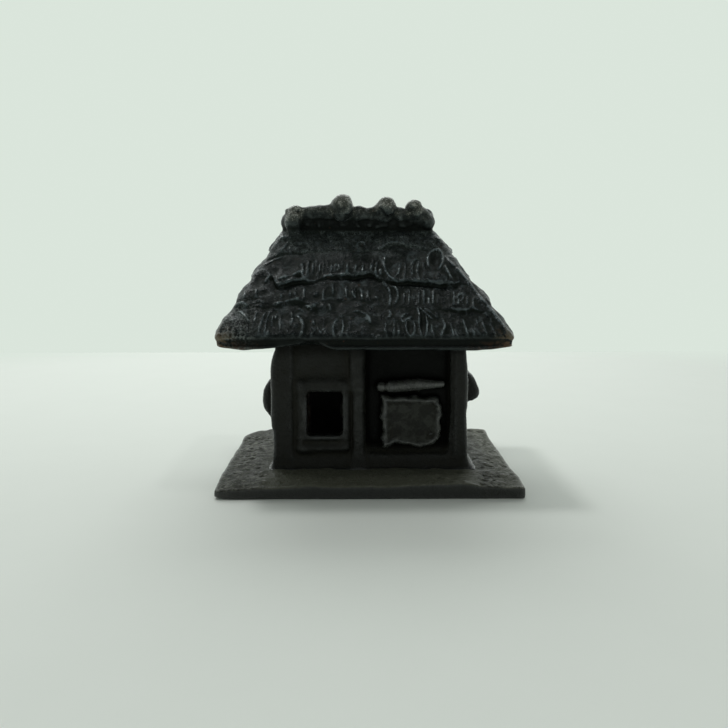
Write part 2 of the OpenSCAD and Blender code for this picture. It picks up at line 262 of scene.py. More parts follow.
# =============================================================================
# relief on a slope: a height map over (u along the eave, s up the slope)
# =============================================================================
class Relief:
    def __init__(s, u, s1, ds=0.15):
        s.u = u.astype(f32)
        s.s = np.arange(-3.0, s1 + 3.0, ds).astype(f32)
        s.ds = ds
        s.U, s.S = s.u[:, None], s.s[None, :]
        s.base = np.zeros((len(s.u), len(s.s)), f32)
        s.up = np.zeros_like(s.base)
        s.down = np.zeros_like(s.base)

    def _win(s, lo, hi, pad):
        i0, i1 = np.searchsorted(s.u, [lo[0] - pad, hi[0] + pad])
        j0, j1 = np.searchsorted(s.s, [lo[1] - pad, hi[1] + pad])
        return slice(max(0, i0), i1), slice(max(0, j0), j1)

    def stroke(s, pts, w, h, taper=0.35):
        """A raised (h > 0) or sunk (h < 0) cord along pts, half width w."""
        pts = np.array(pts, float)
        n = len(pts) - 1
        if n < 1:
            pts = np.vstack([pts, pts + 1e-3]); n = 1
        tgt = s.up if h > 0 else s.down
        w0, w1 = s._win(pts.min(0), pts.max(0), 3 * w + 0.6)
        U, S = s.u[w0][:, None], s.s[w1][None, :]
        if U.size == 0 or S.size == 0:
            return
        best = np.zeros((U.shape[0], S.shape[1]), f32)
        for i in range(n):
            a, b = pts[i], pts[i + 1]
            d = b - a; L2 = float(d @ d) + 1e-9
            t = np.clip(((U - a[0]) * d[0] + (S - a[1]) * d[1]) / L2, 0, 1)
            q = np.sqrt((U - a[0] - t * d[0]) ** 2 + (S - a[1] - t * d[1]) ** 2)
            along = (i + t) / n
            amp = 1 - taper * np.abs(2 * along - 1) ** 2
            best = np.maximum(best, amp * np.exp(-(q / w) ** 2))
        if h > 0:
            tgt[w0, w1] = np.maximum(tgt[w0, w1], h * best)
        else:
            tgt[w0, w1] = np.minimum(tgt[w0, w1], h * best)

    def lump(s, c, ru, rs, h, ang=0.0, p=1.0):
        """Oval lump or pit."""
        R = max(ru, rs)
        w0, w1 = s._win((c[0] - R, c[1] - R), (c[0] + R, c[1] + R), R * 1.2)
        U, S = s.u[w0][:, None] - c[0], s.s[w1][None, :] - c[1]
        ca, sa = math.cos(ang), math.sin(ang)
        q = ((U * ca + S * sa) / ru) ** 2 + ((-U * sa + S * ca) / rs) ** 2
        v = h * np.exp(-q ** p)
        s.base[w0, w1] += v

    def courses(s, edges, drop, lo_s=0.0):
        """Stepped courses. edges: lower edge of each course as arrays over u, from the lowest up; drop: step height of each."""
        n = len(edges)
        for i in range(n):
            lo = edges[i][:, None]
            hi = (edges[i + 1] if i + 1 < n else np.full(len(s.u), s.s[-1]))[:, None]
            t = np.clip((s.S - lo) / np.maximum(hi - lo, 1), 0, 1)
            inside = (s.S >= lo) & (s.S < hi)
            dr = drop[i] if np.ndim(drop[i]) else np.full(len(s.u), drop[i])
            # full at the lower edge, sinking under the course above
            s.base += np.where(inside, dr[:, None] * (1 - t) ** 0.85, 0)

    def noise(s, cu, cs, amp, seed):
        r = np.random.default_rng(seed)
        out = 1
        mats = []
        for ax, c in ((s.u, cu), (s.s, cs)):
            t = (ax - ax[0]) / c + 1.5
            i = np.floor(t).astype(int); u = t - i
            n = int(i.max()) + 3
            M = np.zeros((len(ax), n), f32); rows = np.arange(len(ax))
            M[rows, i - 1] = (1 - u) ** 3 / 6
            M[rows, i] = (3 * u ** 3 - 6 * u ** 2 + 4) / 6
            M[rows, i + 1] = (-3 * u ** 3 + 3 * u ** 2 + 3 * u + 1) / 6
            M[rows, i + 2] = u ** 3 / 6
            mats.append(M)
        g = r.uniform(-1, 1, (mats[0].shape[1], mats[1].shape[1])).astype(f32) * 2
        s.base += amp * (mats[0] @ g @ mats[1].T)

    @property
    def height(s):
        return s.base + s.up + s.down

    def at(s, S):
        """Height for every u and for slope positions S (2-D array): result [u, ...S]."""
        q = np.clip((S - s.s[0]) / s.ds, 0, len(s.s) - 1.001)
        i = q.astype(int); t = (q - i).astype(f32)
        h = s.height
        return h[:, i] * (1 - t) + h[:, i + 1] * t

# =============================================================================
# the roof
# =============================================================================
EAVE_Z, RIDGE_Z, TOP_Z = 46.3, 76.0, 77.4
# side: (eave distance from the axis, ridge distance)
SIDES = {"front": (31.5, 4.5), "rear": (31.5, 4.5), "left": (43.9, 28.0), "right": (40.9, 21.3)}


def slope_of(side):
    q0, q1 = SIDES[side]
    L = math.hypot(q1 - q0, RIDGE_Z - EAVE_Z)
    e = ((q1 - q0) / L, (RIDGE_Z - EAVE_Z) / L)      # up the slope in (q, z)
    n = (e[1], -e[0])                                # outwards
    return q0, L, e, n


def front_us(u, v):
    """(x, s) on the front slope for a sight line."""
    q0, L, e, n = slope_of("front")
    nn = (0, -n[0], n[1])
    p = on_plane(u, v, nn, n[0] * q0 + n[1] * EAVE_Z + 0.4)
    return p[0], (-p[1] - q0) * e[0] + (p[2] - EAVE_Z) * e[1]


roof = Field((-46.5, -34.0, 41.5), (43.5, 34.0, 90.0))

# hip outlines, read along the front hips: (distance from the axis, height)
left_sil = [(279.6, 234), (277.7, 238), (274.8, 242), (272.7, 246), (270.4, 250), (268.2, 254), (266.7, 258), (262.8, 262), (259.6, 266),
            (256.6, 270), (253.7, 274), (251.4, 278), (248.5, 282), (244.8, 286), (242.9, 290), (239.8, 294), (237.6, 298), (234.9, 302),
            (233.3, 306), (231.0, 310), (227.4, 314), (223.8, 318), (221.7, 322), (219.4, 326), (217.1, 330), (214.9, 334), (213.4, 338)]
right_sil = [(437, 234), (440.3, 238), (443, 242), (445.7, 246), (449.3, 250), (452.5, 254), (455.5, 258), (457, 262), (458.5, 266),
             (461.1, 270), (464.9, 274), (469.6, 278), (473.4, 282), (477.2, 286), (480.1, 290), (484.2, 294), (487.5, 298), (489.9, 302),
             (492.3, 306), (496.5, 310), (500.2, 314), (503.4, 318), (505.3, 322), (507.9, 326), (510.6, 330), (513.5, 334), (515.8, 338)]


def hip_shift(sil, side):
    q0, L, e, n = slope_of(side)
    fq0, fL, fe, fn = slope_of("front")
    out = []
    for u, v in sil:
        x, s = front_us(u, v)
        z = EAVE_Z + s * fe[1]
        q = -x if side == "left" else x
        t = (z - EAVE_Z) / (RIDGE_Z - EAVE_Z)
        out.append((t * L, (q - (q0 + (SIDES[side][1] - q0) * t)) * n[0] + 0.25))
    return curve(out)


# lower edges of the three upper thatch courses on the front, as sight points
EDGE_A = [(262, 262), (271.6, 257.5), (287, 252), (304, 251), (314, 250), (330, 250.3), (366, 250.3), (377, 250.2), (386.7, 245), (393.5, 243.6), (411, 245.6), (422, 247.8), (440, 250), (452, 253)]
EDGE_B = [(252, 274), (268, 276), (273, 275), (276, 286), (289, 283), (297.6, 282), (305, 281.5), (313, 281), (322.8, 278.2), (336, 276), (349.4, 277), (366, 275.4), (374.4, 276), (377, 279.5), (393.3, 281), (415.6, 282.2), (431, 283.3), (449, 284.4), (460, 283), (474, 285)]
EDGE_C = [(236, 305.6), (250, 306), (265, 306.5), (280, 304.5), (297, 301.5), (308, 304), (320.6, 312), (330, 309), (341.7, 300), (352.8, 300), (366, 302.5), (378, 305.8), (388, 306), (402, 308), (418, 308), (431, 308), (451, 310), (471, 310), (485.6, 312), (497, 314)]


def edge_on(pts, xs):
    a = np.array([front_us(*p) for p in pts])
    return np.interp(xs, a[:, 0], a[:, 1]).astype(f32)


def soften(a, n):
    k = np.ones(n) / n
    return np.convolve(np.pad(a, (n // 2, n - 1 - n // 2), mode="edge"), k, "valid").astype(f32)


LF = slope_of("front")[1]
front = Relief(roof.x, LF)
rx = roof.x
eA, eB, eC = (soften(edge_on(p, rx), 5) for p in (EDGE_A, EDGE_B, EDGE_C))
def ragged(seed, amp, cell=1.5):
    """Uneven hang of the bundles along a course edge."""
    r = np.random.default_rng(seed)
    n = int(100 / cell)
    at = -50 + cell * (np.arange(n) + r.uniform(-.35, .35, n))
    return soften(np.interp(rx, at, r.uniform(-amp, amp, n)), 3)


eA, eB, eC = eA + ragged(61, 0.45), eB + ragged(62, 0.5), eC + ragged(63, 0.55)
e0 = np.full(len(rx), -0.2, f32)
def along(pts):
    """Values along x from (view column, value) pairs."""
    a = np.array([(front_us(u, 290)[0], w) for u, w in pts])
    return soften(np.interp(rx, a[:, 0], a[:, 1]), 7)


kA = along([(268, .15), (275, .8), (297, .6), (312, .2), (345, .35), (376, .35), (388, .85), (412, .75), (425, .3), (440, .1)])
kB = along([(258, .1), (268, .35), (273, .75), (277, 1.1), (300, 1.0), (318, .35), (336, .85), (350, 1.1), (372, 1.0), (377, .9), (386, .35), (394, .9), (420, 1.1), (448, 1.1), (460, .4), (470, .1)])
kC = along([(238, .05), (250, .2), (262, .4), (276, .15), (297, .5), (312, .7), (325, .3), (342, .15), (366, .35), (385, .12), (402, .25), (440, .3), (452, 1.0), (470, .95), (484, .4), (492, .1)])
kA, kC = 0.75 * kA, 0.75 * kC
front.courses([e0, eC, eB, eA], [0.5, 0.95 * kC, 1.15 * kB, 1.0 * kA])


def crack(rel, edge, depth, w=0.45, off=-0.45):
    depth = depth[:, None] if np.ndim(depth) else depth
    v = -depth * np.exp(-((rel.S - (edge[:, None] + off)) / w) ** 2)
    rel.base += v


crack(front, eC, 0.38 * kC * kC)
crack(front, eB, 0.5 * kB * kB)
crack(front, eA, 0.5 * kA)

P = lambda *uv: [front_us(u, v) for u, v in uv]
S = front.stroke
# --- upper course
S(P((333, 241.5), (330.5, 240), (331, 243)), 0.28, 0.35)
for c in ((337, 241.6), (339.6, 243)):
    front.lump(front_us(*c), 0.45, 0.45, 0.35)
S(P((357, 245.5), (357.4, 242.5), (360, 240.8), (363.4, 241.6), (365.2, 245)), 0.3, 0.4)
front.lump(front_us(360.6, 244), 0.7, 0.6, -0.45)
S(P((279, 239.5), (283, 237.6), (290, 238.4)), 0.7, 0.35)
S(P((281.5, 250.5), (284, 247.5), (287.5, 243)), 0.4, 0.45)
S(P((296, 242.6), (303, 243), (311.5, 244.6)), 0.4, 0.3)
front.lump(front_us(325, 240), 2.2, 1.6, 0.28)
front.lump(front_us(306, 239), 2.4, 1.8, 0.25)
front.lump(front_us(345, 242), 2.6, 1.8, 0.18)
front.lump(front_us(382, 239), 3.0, 1.6, 0.25)
front.lump(front_us(400, 238), 2.6, 1.6, 0.22)
front.lump(front_us(420, 240), 3.0, 1.8, 0.28)
# --- second course
front.lump(front_us(305, 268), 1.7, 2.6, 0.55)
S(P((301.5, 264), (303, 272), (302, 279)), 0.55, 0.35)
S(P((308.5, 262), (307.5, 272), (305, 280.5)), 0.4, 0.4)
S(P((293.6, 276.5), (297, 274.2), (300.6, 272.6), (303, 276.5), (305, 280.5)), 0.33, 0.5)
front.lump(front_us(299.5, 277.5), 1.0, 0.8, -0.6)
S(P((279, 280.6), (283, 279.4), (288, 278)), 0.38, 0.5)
S(P((270, 262), (274, 258.6), (280, 257)), 0.5, 0.3)
front.lump(front_us(274.5, 272), 1.1, 1.2, -0.55)
front.lump(front_us(285, 267), 3.2, 3.0, -0.3)
for u, v0, v1, h in ((312.8, 263, 272, .35), (316, 260, 270, .22), (319.6, 261, 272, .35), (323.5, 262, 271, .25), (327.5, 259, 272.5, .35), (331.5, 262, 273, .3),
                     (335, 261, 272, .38), (338.5, 262, 271, .3), (342, 262, 274, .38), (347, 262, 274, .42), (351, 261, 272, .3), (355.5, 262, 274, .42),
                     (358.8, 262, 272, .3), (362.5, 263, 274, .42), (366.5, 264, 272, .3), (371, 262, 273, .38), (376, 264, 274, .42), (380.5, 266, 275, .42)):
    S(P((u + .6, v0 + 9 * h * (u % 3 > 1)), (u, (v0 + v1) / 2), (u - .3, v1)), 0.36, h * (1.25 if int(u * 7) % 3 else 0.45))
for u, v in ((328.3, 267.5), (333, 269), (340, 268.5), (347.8, 270.5), (357.2, 268), (362.5, 269.5), (373, 268.6), (380.8, 272.5), (397, 270)):
    front.lump(front_us(u, v), 0.62, 0.75, 0.42)
S(P((384.5, 258), (383.6, 264), (385.2, 271), (389.5, 277), (394, 279.5)), 0.42, 0.5)
S(P((398.5, 262), (399.6, 268), (398, 274), (395, 278)), 0.38, 0.4)
front.lump(front_us(392, 267), 1.2, 2.2, -0.5)
S(P((409.5, 268.5), (412.5, 263), (416, 260.5), (419, 262)), 0.38, 0.45)
S(P((413, 262), (411.5, 270), (412, 277)), 0.36, 0.35)
S(P((418, 264), (417, 272), (418.5, 279)), 0.36, 0.3)
S(P((423.5, 264), (424, 273), (423, 280)), 0.36, 0.32)
S(P((404.5, 263), (405.5, 271), (404, 279)), 0.36, 0.28)
# oval hollow with its rim
S(P((428.3, 268), (427.2, 261), (429, 253.5), (433, 249.6), (438, 249), (441.5, 253), (442.6, 259), (441.4, 265.5), (438.5, 270)), 0.42, 0.55)
front.lump(front_us(435.2, 259.5), 1.45, 3.0, -1.35)
S(P((444.8, 269.5), (447.5, 274), (451.3, 279.5)), 0.42, 0.6)
S(P((446, 258), (450, 264), (455, 268)), 0.5, 0.35)
# --- third course
S(P((383.6, 281.5), (386, 285), (389, 289.5), (390.5, 297), (389.2, 305.5)), 0.36, 0.62)
S(P((392, 285.8), (395, 287), (397.4, 290.6), (398, 297), (395.4, 302.4)), 0.36, 0.62)
S(P((265.3, 281), (266.6, 278), (270.5, 275)), 0.36, 0.45)
S(P((274, 304.4), (278, 303.2), (282, 302)), 0.36, 0.5)
S(P((285, 301.4), (291, 299.8), (298.5, 298.9)), 0.36, 0.5)
S(P((252, 303), (258, 300), (263, 302)), 0.5, 0.3)
front.lump(front_us(265, 292), 1.0, 0.9, -0.4)
front.lump(front_us(298, 298.6), 0.6, 0.6, 0.35)
front.lump(front_us(316, 294.5), 0.8, 0.9, 0.45)
S(P((332.2, 284), (332.8, 289), (332.6, 294)), 0.3, 0.4)
front.lump(front_us(339.6, 297), 0.95, 0.95, 0.6)
S(P((352, 289.6), (352.4, 293.4), (355, 297)), 0.42, 0.6)
S(P((361, 289), (361.4, 293.5), (361.8, 298.4)), 0.42, 0.6)
front.lump(front_us(357.4, 292.5), 0.8, 1.4, -0.4)
front.lump(front_us(376.2, 297), 0.85, 0.8, 0.5)
for u, v0, v1, h in ((244, 291, 300, .25), (256, 288, 299, .25), (281, 290, 300, .22), (290, 288, 297, .25), (304, 288, 299, .3), (323, 288, 300, .28), (346, 286, 297, .3),
                     (367.5, 288, 299, .3), (404, 290, 303, .3), (408.8, 289, 303, .32), (413.5, 291, 304, .42), (418.5, 288, 303, .3), (423.5, 290, 304, .36),
                     (428.6, 293, 303, .45), (433, 291, 303.5, .36), (437.5, 293, 304, .4), (443.5, 292, 305, .36), (448.8, 291, 304, .3), (453.5, 292, 306, .34), (467, 294, 306, .3), (473, 296, 307, .3)):
    S(P((u + .5, v0 + 10 * h * (u % 3 > 1)), (u, (v0 + v1) / 2), (u + .2, v1)), 0.36, h * (1.2 if int(u * 5) % 3 else 0.45))
S(P((456, 299), (459.5, 295.5), (464, 292.6)), 0.55, 0.5)
S(P((457.4, 297), (458.2, 301), (457.6, 305)), 0.4, 0.45)
S(P((463.8, 294), (463, 299), (460.6, 303)), 0.36, 0.4)
# --- bottom course
front.lump(front_us(234, 322), 3.4, 4.4, 0.75)
S(P((237, 303.6), (241.7, 302.6), (246.5, 304.6)), 0.5, 0.55)
S(P((240.6, 311), (243.6, 315.4), (248.8, 321.6)), 0.6, 0.5)
S(P((221.5, 322), (219, 329), (217.6, 334.5)), 0.6, 0.3)
S(P((249, 309), (250.5, 318), (249.4, 326)), 0.45, -0.4)
S(P((256.8, 311), (255.4, 316), (254.2, 322)), 0.3, 0.3)
S(P((266, 311), (262.8, 318), (260.2, 326), (258, 335)), 0.3, 0.45)
S(P((269.6, 311), (267, 318), (265.4, 326), (264.6, 334)), 0.3, 0.45)
S(P((259.6, 335), (262.5, 337), (267, 335.4), (268.6, 331)), 0.3, 0.4)
S(P((272.8, 316), (271.4, 321), (271.8, 326)), 0.3, 0.35)
S(P((276.4, 314), (275.4, 319)), 0.3, 0.3)
S(P((281, 312), (279.8, 322), (280.4, 333)), 0.4, 0.2)
S(P((299, 308), (301.4, 309.4), (303.4, 310.6)), 0.36, 0.45)
S(P((306.4, 305.2), (309.6, 306.6), (312.8, 307.6)), 0.45, 0.6)
S(P((311, 309), (314, 306.4), (317.4, 303)), 0.42, 0.5)
front.lump(front_us(311.5, 305.4), 1.1, 0.9, 0.5)
front.lump(front_us(322, 306.5), 1.6, 1.6, 0.45)
S(P((329.6, 304.6), (330.6, 307), (330, 310)), 0.42, 0.6)
front.lump(front_us(297.5, 327), 2.3, 3.4, 0.62)
S(P((297.6, 315.6), (301.2, 320), (303, 325.5), (302.2, 332), (299, 337), (295.4, 339)), 0.42, 0.62)
S(P((291.4, 314), (292.4, 320), (291.2, 327)), 0.5, 0.35)
S(P((308, 322), (307, 330), (308.6, 338)), 0.5, -0.35)
S(P((313.3, 320.6), (313.6, 323.4)), 0.42, 0.45)
S(P((312.4, 327), (314.4, 331), (317.6, 327.6), (320.6, 333), (323.6, 328.4), (326.6, 334)), 0.32, 0.4)
S(P((336.4, 319.6), (333.4, 324), (332.6, 330), (334, 336), (337.4, 341)), 0.32, 0.55)
S(P((342.2, 319.6), (343.2, 326), (341.8, 333.4), (338.6, 339.4)), 0.32, 0.5)
front.lump(front_us(337.8, 328.5), 0.95, 2.2, -0.6)
S(P((345.6, 333.6), (349, 338), (354, 341.6), (360, 343.6), (366, 344.6)), 0.36, 0.45)
S(P((353.6, 311.6), (358.4, 311), (362, 312)), 0.36, 0.4)
S(P((362.4, 312.6), (366.4, 315), (368.6, 318), (370, 322)), 0.5, 0.6)
S(P((365, 317.6), (368, 320)), 0.4, 0.5)
front.lump(front_us(352, 325), 3.2, 3.0, -0.35)
front.lump(front_us(374, 330), 3.0, 3.6, -0.3)
S(P((349, 318), (350.4, 326), (348.6, 331)), 0.4, 0.25)
S(P((389.6, 311), (390.4, 315), (388.6, 318)), 0.42, 0.6)
S(P((372.5, 334), (375, 338), (378.6, 335), (382, 339)), 0.36, 0.35)
S(P((386, 322), (385, 330), (387, 338)), 0.36, 0.32)
S(P((393.4, 319), (394.6, 327), (393.4, 337)), 0.36, 0.36)
S(P((398.2, 324), (399, 331), (397.6, 339)), 0.36, 0.32)
S(P((401, 319.4), (403, 322.4), (407, 319), (411.5, 317)), 0.36, 0.55)
S(P((401, 319), (404.2, 313.4), (408, 314)), 0.32, 0.4)
S(P((406, 321.5), (405.6, 327), (407.6, 333.6), (411, 337), (414.2, 333), (414.8, 326.4), (413.4, 321)), 0.32, 0.55)
front.lump(front_us(410.3, 327.4), 0.9, 1.7, -0.45)
S(P((417.6, 308.6), (419.2, 314), (419.2, 323), (420.6, 332), (423, 340)), 0.32, 0.6)
S(P((425.8, 316), (427.2, 323), (426.6, 331), (423.8, 340)), 0.32, 0.6)
front.lump(front_us(423, 325), 0.95, 2.7, -0.8)
S(P((420.4, 308.6), (426, 313.4), (431.6, 318.4)), 0.3, 0.45)
S(P((424.6, 307.6), (430, 312), (436, 317)), 0.3, 0.35)
S(P((431.6, 325), (431.8, 330), (434, 335.6)), 0.32, 0.5)
S(P((442, 318.6), (444, 323), (444.8, 327.4), (442, 333), (440.6, 338)), 0.32, 0.55)
front.lump(front_us(437.6, 330), 0.9, 1.6, -0.4)
S(P((450.4, 323.4), (452.2, 331), (455, 340.4)), 0.32, 0.5)
S(P((454.6, 330), (457, 335), (458, 341)), 0.3, 0.4)
S(P((462.6, 319.6), (464.4, 326), (467.2, 334.4), (470.4, 342.4)), 0.32, 0.52)
S(P((472, 329), (474, 335), (476.6, 342)), 0.32, 0.5)
S(P((476.4, 319.6), (477, 326)), 0.32, 0.42)
S(P((482, 322), (485, 330), (487.6, 338)), 0.36, 0.3)
S(P((490.4, 323), (493.6, 331), (496.6, 338)), 0.36, 0.26)
front.lump(front_us(459, 317.4), 0.5, 0.5, 0.45)
S(P((465.8, 311), (466.4, 314)), 0.32, 0.35)
S(P((485.4, 312.6), (486.8, 316.4)), 0.36, 0.4)
S(P((436.6, 313), (438, 318)), 0.36, 0.3)
# hip roll on the right
S(P((457.4, 270), (462, 275), (467, 280), (475, 291), (481.5, 300), (487.6, 307), (493.6, 314), (500.6, 323), (507, 331), (513, 337)), 0.55, 0.5, 0.0)
S(P((470, 289), (476, 298), (484, 308)), 0.6, 0.3)
# small cords everywhere else in the lower halves of the courses
r0 = np.random.default_rng(5)
for edge, hgt, n in ((e0, 12, 46), (eC, 8, 40), (eB, 9, 34), (eA, 6, 26)):
    for i in range(n):
        u = r0.uniform(-40, 38)
        k = int(np.clip((u - rx[0]) / roof.h, 0, len(rx) - 1))
        s0 = edge[k] + r0.uniform(0.3, 1.4)
        s1 = s0 + hgt * r0.uniform(0.15, 0.5)
        lean = r0.uniform(-0.5, 0.5)
        S([(u, s0), (u + lean * 0.5, (s0 + s1) / 2), (u + lean, s1)], r0.uniform(0.28, 0.42), r0.uniform(0.08, 0.26))
front.up *= 1.4
front.down *= 1.2
front.noise(5.0, 4.0, 0.26, 11)
front.noise(1.7, 2.2, 0.20, 12)
front.noise(0.75, 0.8, 0.10, 13)


def rough_slope(axis, side, seed, n_courses=4):
    """Relief of the same make for the slopes that the front view doesn't show."""
    L = slope_of(side)[1]
    rel = Relief(axis, L)
    r = np.random.default_rng(seed)
    span = axis[-1] - axis[0]

    def wave(a, c):
        n = int(span / c) + 3
        return soften(np.interp(axis, axis[0] + c * np.arange(n), r.uniform(-a, a, n)), 5)
    edges = [np.full(len(axis), -0.2, f32)]
    for k in (0.32, 0.55, 0.82):
        edges.append((L * k + wave(0.9, 4.5) + wave(0.5, 1.8)).astype(f32))
    rel.courses(edges, [0.55] + [np.clip(1.05 + wave(0.35, 6.0), 0.5, 1.5) for _ in range(3)])
    for e in edges[1:]:
        crack(rel, e, 0.42)
    lim = 30 if side in ("left", "right") else 42
    for e, hgt, n in zip(edges, (10, 8, 9, 6), (int(span * .9), int(span * .75), int(span * .6), int(span * .4))):
        for i in range(n):
            u = r.uniform(-lim, lim)
            k = int(np.clip((u - axis[0]) / (axis[1] - axis[0]), 0, len(axis) - 1))
            s0 = e[k] + r.uniform(0.2, 1.2); s1 = s0 + hgt * r.uniform(0.2, 0.75)
            lean = r.uniform(-0.9, 0.9)
            rel.stroke([(u, s0), (u + lean * 0.7, (s0 + s1) / 2), (u + lean, s1)], r.uniform(0.3, 0.42), r.uniform(0.2, 0.55))
        for i in range(n // 3):
            u = r.uniform(-lim, lim)
            k = int(np.clip((u - axis[0]) / (axis[1] - axis[0]), 0, len(axis) - 1))
            rel.lump((u, e[k] + r.uniform(0.8, 2.6)), r.uniform(.5, 1.6), r.uniform(.6, 2.2), r.uniform(-.55, .5))
        for i in range(n // 8):
            u = r.uniform(-lim, lim); k = int(np.clip((u - axis[0]) / (axis[1] - axis[0]), 0, len(axis) - 1))
            w = r.uniform(0.9, 1.6); h0 = e[k] + 0.6; h1 = h0 + hgt * r.uniform(.4, .7)
            loop = [(u - w * .5, h1), (u - w, (h0 + h1) / 2), (u, h0), (u + w, (h0 + h1) / 2), (u + w * .4, h1)]
            rel.stroke(loop, 0.33, r.uniform(0.35, 0.6), 0.1)
            rel.lump((u, (h0 + h1) / 2 + .3), w * .6, (h1 - h0) * .32, -0.4)
    rel.noise(5.0, 4.0, 0.22, seed + 1)
    rel.noise(1.7, 2.2, 0.20, seed + 2)
    rel.noise(0.75, 0.8, 0.10, seed + 3)
    return rel


rear = rough_slope(roof.x, "rear", 31)
left = rough_slope(roof.y, "left", 41)
right = rough_slope(roof.y, "right", 51)
for rel, sil, side in ((left, left_sil, "left"), (right, right_sil, "right")):
    # the profile read at the front hip carries the steps there; further back the made-up relief takes over
    prof = hip_shift(sil, side)(rel.s)[None, :].astype(f32)
    # distance behind the front hip line, in mm
    behind = rel.U - (-(31.5 + (4.5 - 31.5) * np.clip(rel.s / slope_of(side)[1], 0, 1)))[None, :]
    w = np.clip(behind / 6.0, 0, 1)
    rel.base = rel.base * (0.08 + 0.92 * w) + prof * (1 - 0.6 * w)
    rel.up *= np.clip(behind / 2.5, 0, 1)
    rel.down *= np.clip(behind / 2.5, 0, 1)
# the rear slope's coin slot has a plain flat margin
q0, L, e, n = slope_of("rear")
slot_s = (65.5 - EAVE_Z) / e[1]
flat = np.exp(-np.maximum(0, np.maximum(np.abs(rear.U) - 14.6, np.abs(rear.S - slot_s) - 2.8)) / 0.8)
for nm in ("base", "up", "down"):
    a = getattr(rear, nm)
    setattr(rear, nm, (a * (1 - flat) + (0.35 * flat if nm == "base" else 0)).astype(f32))


def slope_field(side, rel):
    q0, L, e, n = slope_of(side)
    if side in ("front", "rear"):
        sg = -1 if side == "front" else 1
        q = (sg * roof.y)[:, None]; z = roof.z[None, :]
        d = (q - q0) * n[0] + (z - EAVE_Z) * n[1]
        s = (q - q0) * e[0] + (z - EAVE_Z) * e[1]
        return d[None].astype(f32) - rel.at(s)
    sg = -1 if side == "left" else 1
    q = (sg * roof.x)[:, None]; z = roof.z[None, :]
    d = (q - q0) * n[0] + (z - EAVE_Z) * n[1]
    s = (q - q0) * e[0] + (z - EAVE_Z) * e[1]
    return d[:, None, :].astype(f32) - np.swapaxes(rel.at(s), 0, 1)


F = smax(slope_field("front", front), slope_field("rear", rear), 1.0)
G = smax(slope_field("left", left), slope_field("right", right), 1.0)
outer = smax(F, G, 1.3)
del F, G
# thickness face of the eaves: slightly hollow, with a lip at its foot
n_big, n_mid = roof.noise(6.0, 71), roof.noise((2.2, 2.2, 1.6), 72)
zrel = (roof.z - 43.2) / (EAVE_Z - 43.2)
hollow = np.interp(zrel, [-1, 0, 0.12, 0.35, 0.7, 1.0, 1.3, 5], [0.5, 0.25, 0.1, 0.75, 0.7, 0.15, 0.0, 0.0]).astype(f32)[None, None, :]
face = smax(smax(-roof.Y - 31.6, roof.Y - 31.5, 1), smax(-roof.X - 44.35, roof.X - 41.15, 1), 1.6)
outer = smax(outer, face + hollow + 0.16 * n_big + 0.07 * n_mid, 0.9)
# underside of the eaves, wavy along the front
zb_pts = [(-44.4, 44.9), (-43.6, 44.1), (-42.4, 43.8), (-39, 43.4), (-36, 43.1), (-26.3, 43.5), (-20, 44.3), (-18.1, 45.0), (-16.4, 45.3), (-14.8, 45.1),
          (-12.8, 44.0), (-10, 42.95), (-7, 42.8), (27.9, 42.8), (30.5, 42.75), (34.4, 42.95), (39.7, 43.5), (41, 44.2)]
zbx = curve(zb_pts)(roof.x)[:, None]
wy = np.clip((-26.5 - roof.y) / 4.0, 0, 1)[None, :]
wy = wy * wy * (3 - 2 * wy)
zb = (zbx * wy + 43.45 * (1 - wy))[:, :, None] + 0.22 * n_big[:, :, 3:4]
outer = smax(outer, (zb - roof.Z).astype(f32), 0.7)
outer = smax(outer, roof.Z - TOP_Z, 1.2)
del n_big, n_mid

# hollow inside, as the CAD has it
def inner_plane(q, q0, q1, ecad):
    rise = 76.0 - 46.2; run = q0 - q1; k = run / rise
    w = 3.0 * math.hypot(run, rise) / rise
    x0 = q0 + 2.9 * k - w
    nn = math.hypot(1, k)
    return np.maximum(q - (q0 - 3.6), (q - (x0 - (roof.Z - 43.3) * k)) / nn)


hol = np.maximum(np.maximum(inner_plane(-roof.Y, 31.5, 4.5, 0), inner_plane(roof.Y, 31.5, 4.5, 0)),
                 np.maximum(inner_plane(-roof.X, 43.9, 28.0, 0), inner_plane(roof.X, 40.9, 21.3, 0)))
hol = np.maximum(hol, roof.Z - 72.8).astype(f32)
shell = smax(outer, -hol, 0.6)
del hol
ring_o = np.maximum(np.maximum(np.abs(roof.X) - 30.1, np.abs(roof.Y) - 17.5), 52.0 - roof.Z)
ring_i = np.maximum(np.abs(roof.X) - 25.0, np.abs(roof.Y - 0.5) - 11.9)
ring = np.maximum(ring_o, -ring_i)
lip = np.maximum(np.maximum(np.abs(roof.X) - 26.8, np.abs(roof.Y - 0.5) - 13.7), np.maximum(49.5 - roof.Z, roof.Z - 53.0))
lip = np.maximum(lip, -ring_i)
roof.d = np.minimum(shell, np.minimum(np.maximum(outer + 0.6, ring), lip)).astype(f32)
del shell, ring, ring_o, ring_i, lip
SCREWS = [(-21.5, 8.2), (21.5, -8.2)]
for sx, sy in SCREWS:
    w, X, Y, Z = roof.local((sx - 5.5, sy - 5.5, 56), (sx + 5.5, sy + 5.5, 75), 1.0)
    boss = np.maximum(np.maximum(np.abs(X - sx) - 5.5, np.abs(Y - sy) - 5.5), np.maximum(56 - Z, Z - 75))
    roof.d[w] = np.minimum(roof.d[w], np.maximum(boss, outer[w] + 0.8)).astype(f32)

